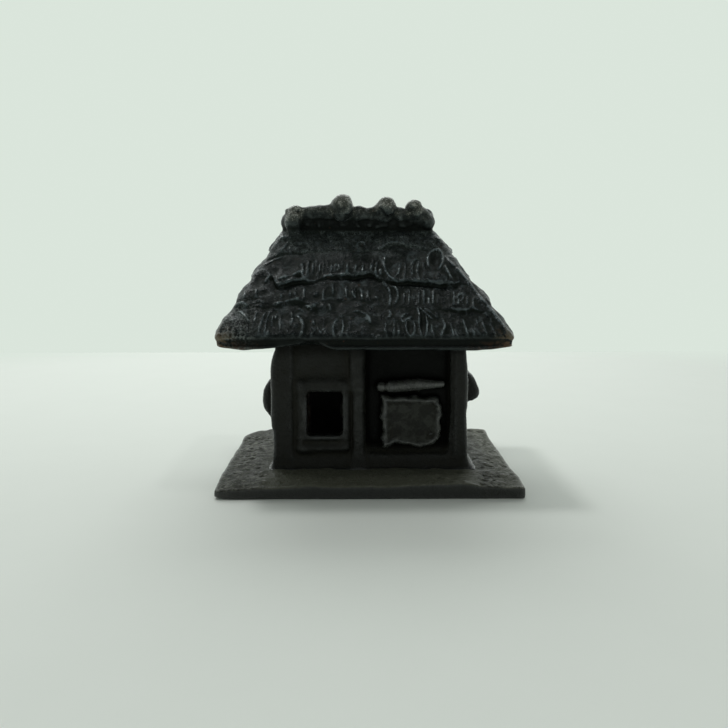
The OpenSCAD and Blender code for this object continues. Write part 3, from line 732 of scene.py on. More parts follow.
# ridge: a block on a neck, a bark covered roll, and four logs laid across it
R = roof
R.brick((-26.4, -3.9, 74.5), (19.2, 3.9, 83.4), 1.8, 0.7)
R.brick((-26.8, -4.5, 78.6), (19.4, 4.5, 83.2), 1.8, 1.0)
rk = np.random.default_rng(17)
for sy in (-1, 1):
    for i in range(60):
        x_ = rk.uniform(-25, 18); z_ = rk.uniform(78.4, 83.4)
        R.ball((x_, sy * (4.1 + 0.9 * (z_ > 80.8)), z_), rk.uniform(0.5, 1.0), 0.5, (rk.uniform(0.8, 1.6), 0.7, rk.uniform(0.7, 1.1)))
    for i in range(26):
        x_ = rk.uniform(-24, 18)
        R.rod((x_, sy * 5.6, rk.uniform(79.6, 81.5)), (x_ + rk.uniform(-1.5, 1.5), sy * 5.4, rk.uniform(82, 83.6)), 0.42, 0.36, 0.4, cut=True)
for sy in (-1, 1):
    fr = sy < 0
    # roll along the top edge, in lumps
    R.rod((-20.6, sy * 4.4, 82.5), (-12.0, sy * 4.2, 82.9), 1.75, 2.1, 1.0)
    R.rod((-12.0, sy * 4.2, 82.4), (4.0, sy * 4.4, 81.9), 1.6, 1.7, 1.0)
    R.rod((4.0, sy * 4.4, 81.9), (17.5, sy * 4.2, 81.6), 1.5, 1.6, 1.0)
    for x, z, rr in ((-18.6, 83.2, 1.2), (-16.2, 83.5, 1.1), (-14.0, 83.6, 1.2), (-3.6, 82.6, 1.2), (-1.0, 82.7, 1.1), (1.0, 82.5, 1.0), (9.4, 82.3, 1.0)):
        R.ball((x, sy * 5.0, z - .7), rr, 0.5, (1.0, 0.8, 1.2))
R.rod((-20.0, 0, 82.4), (-12.0, 0, 82.6), 2.2, 2.3, 1.5)
for sy in (-1, 1):
    # first log: a stout foot with a smaller knob on it
    R.ball((-23.6, sy * 5.0, 80.5), 2.55, 0.9, (1, 1, 1.12))
    R.ball((-22.75, sy * 4.8, 82.9), 1.85, 0.7)
R.rod((-23.4, -5, 80.9), (-23.4, 5, 80.9), 2.4, 2.4, 1.0)
R.rod((-22.9, -4.6, 82.6), (-22.9, 4.6, 82.6), 1.8, 1.8, 0.8)
R.rod((-8.36, -6.0, 84.55), (-8.5, 6.2, 84.5), 3.35, 3.3, 0.9)
R.rod((-8.0, -5.6, 83.0), (-8.2, 5.6, 83.0), 3.0, 3.0, 0.9)
R.rod((5.35, -5.9, 84.3), (5.6, 6.0, 84.2), 3.0, 3.0, 0.9)
R.rod((3.4, -5.0, 83.0), (3.8, 5.0, 83.0), 2.2, 2.2, 1.0)
R.rod((13.9, -5.2, 84.4), (14.1, 5.4, 84.3), 2.25, 2.25, 0.7)
R.rod((14.9, -5.6, 82.6), (14.6, 5.4, 82.6), 2.1, 2.1, 0.8)
R.ball((17.7, 0, 80.2), 3.1, 1.0, (1, 1.9, 1.14))
R.ball((-25.5, 0, 79.4), 2.1, 1.0, (1, 2.4, 1.4))
for sy in (-1, 1):
    R.ball((16.6, sy * 4.6, 81.9), 1.9, 0.7)
    R.ball((18.4, sy * 3.8, 79.6), 1.9, 0.8, (1, 1, 1.3))
    R.ball((9.2, sy * 4.2, 83.0), 1.2, 0.8, (1.5, 1, 1))
    R.ball((-3.2, sy * 4.4, 83.3), 1.4, 0.8, (1.6, 1, 1))
    R.ball((-0.6, sy * 4.2, 83.0), 1.3, 0.8, (1.3, 1, 1))
# seam between the ridge and the thatch, and small pits in the log ends
for sy in (-1, 1):
    R.rod((-24.0, sy * 5.5, 77.75), (8.0, sy * 5.6, 77.9), 0.42, 0.42, 0.5, cut=True)
    R.rod((8.0, sy * 5.6, 77.9), (19.0, sy * 5.3, 77.0), 0.42, 0.4, 0.5, cut=True)
R.ball((-21.9, -6.4, 82.6), 0.45, 0.3, cut=True)
R.brick((-25.4, -6.3, 74.0), (-21.4, -3.6, 79.4), 1.3, 1.2)

# coarse lumpy skin on the ridge
w_, X_, Y_, Z_ = R.local((-30, -9, 77.8), (24, 9, 90), 0.0)
amt = np.clip((Z_ - 77.6) / 1.5, 0, 1)
R.d[w_] = (R.d[w_] + amt * (0.26 * R.noise(1.5, 83)[w_] + 0.12 * R.noise(0.8, 84)[w_])).astype(f32)

# coin slot through the rear slope
q0, L, e, n = slope_of("rear")
def slot_fn(X, Y, Z):
    dn = (Y - q0) * n[0] + (Z - EAVE_Z) * n[1]
    s = (Y - q0) * e[0] + (Z - EAVE_Z) * e[1]
    a, b = np.abs(X) - 13.5 + 0.5, np.abs(s - slot_s) - 1.6 + 0.5
    box2 = np.sqrt(np.maximum(a, 0) ** 2 + np.maximum(b, 0) ** 2) + np.minimum(np.maximum(a, b), 0) - 0.5
    return np.maximum(box2, np.abs(dn) - 6.5)
R.add((-14, 6, 58), (14, 22, 73), slot_fn, 0.35, cut=True)
for sx, sy in SCREWS:
    R.drum((sx, sy), 2.25, 49.0, 65.5, cut=True)
    x0, x1 = sorted((sx + math.copysign(3.65, sx), sx - math.copysign(9, sx)))
    R.brick((x0, sy - 3.65, 58.9), (x1, sy + 3.65, 62.4), 0.05, 0, cut=True)
# cast skin
near = np.abs(roof.d) < 1.5
roof.d = (roof.d + np.where(near, 0.05 * roof.noise(1.1, 81) + 0.06 * roof.noise(2.6, 82), 0)).astype(f32)
roof_ob, rp = roof.mesh("roof_casting")
# how much of a raised cord each point of the thatch lies on
cord = np.zeros(len(rp), f32)
best = np.full(len(rp), -1e9)
for side, rel in (("front", front), ("rear", rear), ("left", left), ("right", right)):
    q0, L, e, n = slope_of(side)
    q = {"front": -rp[:, 1], "rear": rp[:, 1], "left": -rp[:, 0], "right": rp[:, 0]}[side]
    dist = (q - q0) * n[0] + (rp[:, 2] - EAVE_Z) * n[1]
    sp = (q - q0) * e[0] + (rp[:, 2] - EAVE_Z) * e[1]
    up_ = rp[:, 0] if side in ("front", "rear") else rp[:, 1]
    i = np.clip(np.rint((up_ - rel.u[0]) / roof.h).astype(int), 0, len(rel.u) - 1)
    j = np.clip(np.rint((sp - rel.s[0]) / rel.ds).astype(int), 0, len(rel.s) - 1)
    on = dist > best
    best = np.where(on, dist, best)
    cord = np.where(on, np.clip(rel.up[i, j] / 0.75, 0, 1) * (np.abs(dist) < 3) * np.clip((sp + 0.2) / 1.2, 0, 1), cord)
a_ = roof_ob.data.attributes.new("cord", "FLOAT", "POINT")
a_.data.foreach_set("value", np.ascontiguousarray(cord, f32))

# =============================================================================
# the walls
# =============================================================================
WY = -17.3
W = Field((-36.8, -22.5, 3.2), (39.2, 22.5, 53.4))


def face_pt(u, v, y=WY):
    p = on_plane(u, v, (0, 1, 0), y)
    return p[0], p[2]


wl = curve([face_pt(u, v)[::-1] for u, v in [(275.4, 350), (273.6, 354), (272.5, 358), (271.5, 362), (270.7, 370), (271.2, 412), (270.2, 418), (270.8, 426), (272.5, 431), (273.6, 447), (273.0, 462)]])
wr = curve([face_pt(u, v)[::-1] for u, v in [(466.3, 350), (467.9, 370), (468.0, 406), (467.0, 414), (467.4, 426), (468.5, 445), (468.8, 462)]])
xl, xr = wl(W.z)[None, None, :], wr(W.z)[None, None, :]
nb, nm = W.noise(5.0, 91), W.noise(2.0, 92)
W.d = smax(smax(xl - W.X, W.X - xr, 1), smax(-17.1 - W.Y, W.Y - 17.3, 1), 2.6).astype(f32)
# corner posts
pl, _ = face_pt(294.4, 420)
pr, _ = face_pt(452.7, 420)
W.brick((-29.7, -17.95, 0), (pl, -14, 60), 1.2, 0.8)
W.brick((pr, -17.95, 0), (30.1, -14, 60), 1.2, 0.8)
for sx in (-1, 1):
    W.brick((sx * 27.4 - 2.7, 14, 0), (sx * 27.4 + 2.7, 18.0, 60), 0.9, 0.5)
    for sy in (-1, 1):      # the posts stand a little proud of the side walls too
        W.brick((sx * 28.2 - 2.1, sy * 15.1 - 2.6, 0), (sx * 28.2 + 2.1, sy * 15.1 + 2.6, 60), 0.9, 0.6)
    # rails and boards on the side walls
    W.brick((sx * 28.9 - 1.2, -15, 40.5), (sx * 28.9 + 1.2, 15, 43.5), 0.8, 0.5)
    W.brick((sx * 28.9 - 1.2, -15, 7.4), (sx * 28.9 + 1.2, 15, 10.4), 0.8, 0.5)
    for j, yy in enumerate(np.arange(-9.6, 10.0, 3.2)):
        W.rod((sx * 30.1, yy, 11.5), (sx * 30.1, yy, 17.0 if sx < 0 else 20.0), 0.42, 0.42, 0.5, cut=True)
# panel round the window, sunk a little
x0, z0 = face_pt(294.6, 456.5)
x1, z1 = face_pt(351.6, 393)
W.brick((x0 + 0.8, -30, z0 + 0.6), (x1, -16.9, z1 + 3.0), 2.0, 3.2, cut=True)
# window frame: thick soft rolls
ax, az = face_pt(308, 434.8)
bx, bz = face_pt(341.7, 393)
W.brick((face_pt(297.4, 400)[0], -17.9, az - 5.0), (ax + 0.1, -14.5, bz + 3.0), 1.5, 1.6)
W.brick((bx - 0.1, -17.85, az - 4.6), (face_pt(350.2, 400)[0], -14.5, bz + 3.0), 1.2, 1.4)
W.brick((face_pt(297, 385)[0], -17.9, bz - 0.1), (face_pt(351, 385)[0], -14.5, face_pt(320, 378.5)[1]), 1.7, 1.8)
W.brick((face_pt(298, 385)[0], -17.8, face_pt(320, 441)[1]), (face_pt(348, 385)[0], -14.5, az + 0.2), 1.1, 1.4)
W.brick((face_pt(297, 385)[0], -18.0, face_pt(320, 453.5)[1]), (face_pt(348, 385)[0], -14.5, face_pt(320, 443.4)[1]), 1.9, 2.2)
W.rod((ax - 1.0, -18.4, face_pt(320, 442.2)[1]), (bx - 4.5, -18.4, face_pt(320, 442.2)[1]), 0.45, 0.35, 0.7, cut=True)
# small dents in the frame, as cast
W.ball((face_pt(300, 415)[0], -18.9, face_pt(300, 415)[1]), 1.0, 0.8, (0.7, 1, 2.0), cut=True)
# bay to the right of the centre post
cx, cz = face_pt(365.6, 455.6)
dx, dz = face_pt(450.4, 372)
W.brick((cx, -30, cz), (dx, -14.25, 47.5), 1.6, 1.2, cut=True)
W.rod((cx + 1.5, -13.2, cz + 0.4), (dx - 1.5, -13.2, cz + 0.4), 2.6, 2.6, 2.2)
# centre post with its spread foot and its head
px, _ = face_pt(358.3, 400)
W.rod((px, -17.0, 5.0), (px, -17.0, face_pt(358, 352)[1]), 1.85, 1.8, 0.5)
W.rod((px, -17.1, 5.0), (px, -17.0, 9.0), 2.3, 1.8, 1.0)
W.rod((px - 0.6, -17.0, 30.0), (px - 0.8, -17.0, 45.0), 2.0, 2.6, 1.0)
# pole and its knob
b0, b1 = face_pt(391, 386.6, -17.2), face_pt(441.5, 384.2, -17.2)
mid = face_pt(418, 384.4, -17.2)
W.rod((b0[0], -17.2, b0[1]), (mid[0], -17.3, mid[1]), 1.75, 1.85, 0.5)
W.rod((mid[0], -17.3, mid[1]), (b1[0], -17.0, b1[1]), 1.85, 1.05, 0.5)
W.rod((mid[0], -15.0, mid[1] - 0.3), (b1[0], -15.0, b1[1] - 0.2), 1.6, 1.2, 0.5)
W.rod((b0[0], -15.0, b0[1]), (mid[0], -15.0, mid[1] - 0.3), 1.6, 1.6, 0.5)
k0 = face_pt(381.6, 386.9, -17.2)
W.rod((k0[0], -17.2, k0[1]), (k0[0], -15.0, k0[1]), 1.45, 1.4, 0.3)
g0, g1 = face_pt(388.2, 378.5, -17.2), face_pt(387.4, 392, -17.2)
W.rod((g0[0], -19.0, g0[1]), (g1[0], -19.0, g1[1]), 0.55, 0.5, 0.4, cut=True)

# hanging mat: an uneven panel with a rolled rim
mat_px = [(381.6, 396.4), (380.8, 420), (382.6, 449.6), (390, 446.4), (397.5, 443.4), (407, 446.4), (418, 448.4), (428.8, 446.4), (434, 443.6), (439.4, 440), (441.8, 431), (442.2, 423), (443.2, 413), (441.6, 405), (439.6, 397.6), (420, 396.8), (400, 396.2)]
mat_xz = np.array([face_pt(u, v, -17.0) for u, v in mat_px])


def poly_dist(px_, pz_, poly):
    """Signed distance to a polygon, negative inside."""
    d = np.full(np.broadcast(px_, pz_).shape, 1e9, f32)
    inside = np.zeros(d.shape, bool)
    for i in range(len(poly)):
        a, b = poly[i - 1], poly[i]
        e = b - a
        t = np.clip(((px_ - a[0]) * e[0] + (pz_ - a[1]) * e[1]) / (e @ e), 0, 1)
        d = np.minimum(d, (px_ - a[0] - t * e[0]) ** 2 + (pz_ - a[1] - t * e[1]) ** 2)
        hit = ((a[1] > pz_) != (b[1] > pz_)) & (px_ < (b[0] - a[0]) * (pz_ - a[1]) / (b[1] - a[1] + 1e-9) + a[0])
        inside ^= hit
    return np.where(inside, -np.sqrt(d), np.sqrt(d)).astype(f32)


def mat_fn(X, Y, Z):
    q = poly_dist(X[:, 0, :], Z[0], mat_xz)[:, None, :]
    top = -16.9 - 0.5 * np.exp(-((q + 1.1) / 0.9) ** 2) + 0.3 * np.exp(-((X - 13) / 6.0) ** 2) * (q < 0)
    top = top - 0.45 * np.exp(-((Z - mat_xz[:, 1].min() - 1.5) / 1.6) ** 2)
    return smax(q + 0.25 * np.sin(X * 1.3 + Z * 0.9) + 0.2 * np.sin(Z * 1.9 - X * 0.7), top - Y, 1.5)


W.add((mat_xz[:, 0].min() - 1, -18.8, mat_xz[:, 1].min() - 1), (mat_xz[:, 0].max() + 1, -14.0, mat_xz[:, 1].max() + 1), mat_fn, 0.5)
for u, v, r_ in ((437, 404, 0.7), (438.6, 406, 0.5), (431, 434, 0.4)):
    q_ = face_pt(u, v, -17.2)
    W.ball((q_[0], -17.1, q_[1]), r_, 0.4)
# band under the bay and the window
W.brick((pl - 0.5, -17.0, 0), (pr + 0.5, -14, face_pt(400, 458.0)[1]), 2.2, 3.2)

W.d = smax(W.d, np.maximum(xl - 0.1 - W.X, W.X - xr - 0.1), 0.8).astype(f32)
# hoods: outlines read from the silhouette, drawn through the depth
for pts_, y_, sx in (([(276, 372), (271.6, 377), (267.8, 381.6), (265.5, 386), (264, 390), (263.4, 396), (263.5, 401), (264.6, 406), (266.6, 410), (270.6, 413.6), (276, 415)], -5.5, -1),
                     ([(462, 369), (468, 371.4), (471.8, 374), (474.8, 378), (477.0, 382), (478.3, 386), (479.2, 390), (479.0, 394), (477.2, 397.6), (472, 400.6), (462, 402)], -5.5, 1)):
    poly = np.array([face_pt(u, v, y_) for u, v in pts_])
    poly[0, 0] = poly[-1, 0] = sx * 26.0

    def hood_fn(X, Y, Z, poly=poly):
        return smax(poly_dist(X[:, 0, :], Z[0], poly)[:, None, :], np.abs(Y - 0.3) - 7.6, 1.6)
    W.add((poly[:, 0].min() - 0.5, -7.6, poly[:, 1].min() - 0.5), (poly[:, 0].max() + 0.5, 8.2, poly[:, 1].max() + 0.5), hood_fn, 1.0)
    # thatch lines down the hood and a brace under it
    top = poly[:, 1].max()
    for yy in np.arange(-5.8, 6.6, 1.9):
        a_, b_ = poly[2 if sx < 0 else 2], poly[5]
        W.rod((a_[0] + sx * 0.15, yy, a_[1] + 0.1), (b_[0] + sx * 0.15, yy + 0.3, b_[1]), 0.3, 0.3, 0.4, cut=True)
    lowz = poly[:, 1].min()
    for yy in (-6.0, 6.4):
        W.rod((sx * 29.6, yy, lowz - 2.4), (sx * 31.2, yy, lowz + 1.0), 0.8, 0.8, 0.6)

# rear: door leaf in boards with a lintel, a small shuttered window each side
W.brick((-8.0, 16.0, 8.4), (8.0, 18.0, 34.0), 0.6, 0.3)
for xx in np.arange(-5.4, 5.5, 2.7):
    W.rod((xx, 18.15, 9.2), (xx, 18.15, 33.2), 0.36, 0.36, 0.3, cut=True)
W.rod((-9.6, 17.2, 35.0), (9.6, 17.2, 35.2), 1.3, 1.3, 0.5)
for zz in (14.0, 27.5):
    W.brick((-7.6, 16.5, zz - 0.9), (7.6, 18.4, zz + 0.9), 0.5, 0.3)
W.ball((5.8, 18.2, 21.0), 0.8, 0.3)
for sx in (-1, 1):
    W.brick((sx * 16.5 - 4.4, 16, 18.0), (sx * 16.5 + 4.4, 18.0, 30.0), 0.7, 0.4)
    W.brick((sx * 16.5 - 3.3, 17.0, 19.2), (sx * 16.5 + 3.3, 25, 28.8), 0.4, 0.3, cut=True)
    for zz in (21.6, 24.0, 26.4):
        W.rod((sx * 16.5 - 3.3, 17.0, zz), (sx * 16.5 + 3.3, 17.0, zz), 0.5, 0.5, 0.3)
W.brick((-30.2, 16, 0), (30.2, 17.9, 7.6), 0.7, 0.5)
W.brick((-30.2, 16, 40), (30.2, 17.9, 60), 0.7, 0.5)

W.d = (W.d + 0.20 * nb + 0.07 * nm).astype(f32)
del nb, nm
# foot flowing out into the ground
kk = np.interp(W.x, [-31, -26, 26, 33], [2.2, 2.4, 2.6, 5.0]).astype(f32)[:, None, None]
slab = np.maximum(W.Z - 4.45, np.maximum(np.abs(W.X - 0.2) - 31.9, np.abs(W.Y) - 19.4))
t_ = np.maximum(kk - np.abs(W.d - slab), 0) / kk
W.d = (np.minimum(W.d, slab) - t_ * t_ * kk * 0.25).astype(f32)
W.d = np.maximum(W.d, 4.15 - W.Z)
W.d = np.maximum(W.d, W.Z - 52.0)
# chamber and window
W.brick((-27.1, -13.5, -5), (27.1, 14.5, 60), 0.2, 0.2, cut=True)
wx = np.array([face_pt(u, v) for u, v in [(309.5, 393.2), (308.2, 396), (308.0, 414), (308.2, 432.4), (310.4, 434.8), (325, 435.0), (339.4, 434.6), (341.4, 432), (341.4, 420), (339.6, 414), (339.4, 408), (341.2, 402), (341.6, 395.6), (340, 393.2)]])


def win_fn(X, Y, Z):
    return np.maximum(poly_dist(X[:, 0, :], Z[0], wx)[:, None, :] - 0.25, Y + 12.0)


W.add((wx[:, 0].min() - 1, -21, wx[:, 1].min() - 1), (wx[:, 0].max() + 1, -12.5, wx[:, 1].max() + 1), win_fn, 0.6, cut=True)
near = np.abs(W.d) < 1.5
W.d = (W.d + np.where(near, 0.05 * W.noise(1.1, 93), 0)).astype(f32)
walls_ob, _ = W.mesh("wall_casting")

# =============================================================================
# the base plate
# =============================================================================
B = Field((-47.0, -35.8, -0.9), (46.8, 35.8, 9.4))
bl = [(249.5, 432), (244.8, 436), (242.9, 440), (240.8, 444), (237.8, 448), (235.8, 452), (233.8, 456), (231, 460), (227.8, 464), (224.7, 468), (222.7, 472), (221.5, 476), (218.9, 480), (217.6, 484)]
br = [(484.2, 432), (490.1, 440), (495.9, 448), (501.4, 456), (506.7, 464), (513, 472), (520.3, 480), (522.8, 484)]
pl_ = sorted((on_plane(u, v, (0, 0, 1), 3.6)[[1, 0]] for u, v in bl), key=lambda q: q[0])
pr_ = sorted((on_plane(u, v, (0, 0, 1), 3.6)[[1, 0]] for u, v in br), key=lambda q: q[0])
bxl = soften(np.clip(np.interp(B.y, [q[0] for q in pl_], [q[1] for q in pl_]), -44.4, -42.8) - 0.75, 9)[None, :, None]
bxr = soften(np.clip(np.interp(B.y, [q[0] for q in pr_], [q[1] for q in pr_]), 42.6, 44.3) + 0.35, 9)[None, :, None]
ftop = soften(np.interp(B.x, [-44, -42, -27.5, -20, -9.5, 0, 8, 17.6, 26, 32, 38, 43.5, 46], [2.9, 3.0, 3.5, 3.95, 3.7, 3.9, 4.3, 4.6, 4.6, 4.15, 3.9, 4.0, 4.0]), 15)[:, None]
yy, xx = B.y[None, :], B.x[:, None]
to_front = np.clip((-19.5 - yy) / 13.5, 0, 1)
to_side = np.clip((np.abs(xx) - 31.5) / 12.0, 0, 1)
to_back = np.clip((yy - 19.5) / 13.5, 0, 1)
gz = 4.75 + (ftop - 4.75) * to_front ** 1.3
gz = gz - 0.8 * to_side ** 1.4 * (1 - 0.5 * to_front) * (1 - 0.7 * to_back)
gz = gz + 0.25 * to_back ** 1.4
gn = (0.26 * B.noise(6.0, 101)[:, :, 3] + 0.16 * B.noise(2.6, 102)[:, :, 5] + 0.07 * B.noise(1.1, 103)[:, :, 7])
# curved boundary of the fillet on the right, and a few soft lumps and pits
pits = np.zeros_like(gz)
rb = np.random.default_rng(7)
for i in range(420):
    u, v = rb.uniform(-43, 43), rb.uniform(-33, 33)
    if abs(u) < 33 and -20.5 < v < 20.5:
        continue
    r_ = rb.uniform(0.35, 1.1)
    pits += rb.choice([-1, -1, 1]) * rb.uniform(0.08, 0.28) * np.exp(-(((xx - u) ** 2 + (yy - v) ** 2) / r_ ** 2))
gz = gz + gn * 1.25 + 1.5 * pits
wall_near = np.clip(1 - (np.maximum(np.abs(xx) - 31.6, np.abs(yy) - 19.0)) / 1.6, 0, 1)
gz = np.where(wall_near > 0, np.maximum(gz, 4.62 * wall_near + gz * (1 - wall_near)), gz)
inside = np.clip((np.maximum(np.abs(xx) - 28.8, np.abs(yy) - 15.8) + 0.6) / 0.6, 0, 1)
gz = gz * inside + 4.6 * (1 - inside)
side_n = 0.12 * B.noise((5.0, 5.0, 3.0), 104) + 0.06 * B.noise(1.6, 105)
out = smax(smax(bxl - B.X, B.X - bxr, 1), smax(-33.5 - B.Y, B.Y - 33.4, 1), 1.5)
# the rear left corner is well rounded
out = smax(out, ((-B.X + B.Y) - 73.6) / 1.414, 3.0)
out = out + side_n
del side_n
lift = 0.55 * np.clip((-B.X - 38.5) / 5, 0, 1) * np.clip((-B.Y - 27) / 6, 0, 1)
B.d = smax(out, (B.Z - gz[:, :, None]).astype(f32), 0.9)
B.d = smax(B.d, lift - B.Z, 0.5).astype(f32)
del out
# underside pocket
B.brick((-37, -26.5, -6), (37, 26.5, 2.2), 1.2, 0.5, cut=True)
for sx, sy in SCREWS:
    B.drum((sx, sy), 5.2, 3.2, 8.2, 0.6)
for sx in (-1, 1):
    for y0_, y1_, a_ in ((-13.2, -11.2, 0), (12.2, 14.2, 0), (-13.2, -7.2, 1), (8.2, 14.2, 1)):
        x0_, x1_ = sorted((sx * 26.8, sx * (26.8 - (2 if a_ else 7))))
        B.brick((x0_, y0_, 4.0), (x1_, y1_, 7.1), 0.25, 0.3)
trap_c, pivot = np.array([-6.0, 0.0]), np.array([7.5, 10.5])
reach = float(np.hypot(*(trap_c - pivot))); dr = (trap_c - pivot) / reach
for ang in (0.0, 104.0):
    c_, s_ = math.cos(math.radians(ang)), math.sin(math.radians(ang))
    rd = np.array([dr[0] * c_ - dr[1] * s_, dr[0] * s_ + dr[1] * c_])
    tg = (-1 if ang == 0 else 1) * np.array([-rd[1], rd[0]])
    q_ = pivot + rd * (reach + 15.5) + tg * (2.8 + 1.3 + 0.45)
    B.drum(q_, 1.28, 0.9, 3.0, 0.15)
B.drum(trap_c, 12.5, -5, 20, 0.4, cut=True)
for sx, sy in SCREWS:
    B.drum((sx, sy), 2.25, -5, 20, 0.1, cut=True)
    B.drum((sx, sy), 4.0, -5, 5.2, 0.1, cut=True)
B.drum(pivot, 1.55, -5, 20, 0.1, cut=True)
base_ob, _ = B.mesh("base_casting")

for ob, nodes in ((roof_ob, ["roof"]), (walls_ob, ["house_walls"]), (base_ob, ["base_plate"])):
    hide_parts(*nodes)
    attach(ob, "bank")

# =============================================================================
# materials
# =============================================================================
class Nodes:
    """Small helper for node trees."""
    def __init__(s, name):
        s.m = bpy.data.materials.new(name)
        s.m.use_nodes = True
        s.t = s.m.node_tree
        s.t.nodes.clear()
        s.out = s.t.nodes.new("ShaderNodeOutputMaterial")

    def new(s, kind, **kw):
        n = s.t.nodes.new(kind)
        for k, v in kw.items():
            setattr(n, k, v)
        return n

    def put(s, sock, v):
        if hasattr(v, "links") or isinstance(v, bpy.types.NodeSocket):
            s.t.links.new(v, sock)
        else:
            sock.default_value = v

    def math(s, op, a, b=0.0, c=None, clamp=False):
        n = s.new("ShaderNodeMath", operation=op, use_clamp=clamp)
        s.put(n.inputs[0], a); s.put(n.inputs[1], b)
        if c is not None:
            s.put(n.inputs[2], c)
        return n.outputs[0]

    def ramp(s, x, a, b, lo=0.0, hi=1.0):
        """lo at x = a, hi at x = b, smooth between."""
        n = s.new("ShaderNodeMapRange", interpolation_type="SMOOTHSTEP")
        s.put(n.inputs[0], x)
        for i, v in enumerate((a, b, lo, hi)):
            n.inputs[i + 1].default_value = v
        return n.outputs[0]

    def mix(s, f, a, b, kind="MIX"):
        n = s.new("ShaderNodeMix", data_type="RGBA", blend_type=kind)
        s.put(n.inputs[0], f); s.put(n.inputs[6], a); s.put(n.inputs[7], b)
        return n.outputs[2]

    def mm(s):
        tc = s.new("ShaderNodeTexCoord")
        v = s.new("ShaderNodeVectorMath", operation="SCALE")
        s.put(v.inputs[0], tc.outputs["Object"]); v.inputs["Scale"].default_value = 1000.0
        return v.outputs[0]

    def noise(s, vec, scale, detail=3.0, rough=0.55, dist=0.0):
        n = s.new("ShaderNodeTexNoise")
        s.put(n.inputs["Vector"], vec)
        n.inputs["Scale"].default_value = scale; n.inputs["Detail"].default_value = detail
        n.inputs["Roughness"].default_value = rough; n.inputs["Distortion"].default_value = dist
        return n.outputs["Fac"]

    def attr(s, name):
        return s.new("ShaderNodeAttribute", attribute_name=name).outputs["Fac"]

    def xyz(s, vec):
        n = s.new("ShaderNodeSeparateXYZ")
        s.put(n.inputs[0], vec)
        return n.outputs


def rgb(r, g, b):
    return (r, g, b, 1.0)


# colour of the raised edges: partly rubbed wear, partly painted highlight (a bluish sheen on the roof)
RAISED_WEAR_AND_SHEEN = {"roof": rgb(0.066, 0.086, 0.094), "walls": rgb(0.045, 0.049, 0.048), "base": rgb(0.045, 0.048, 0.040)}


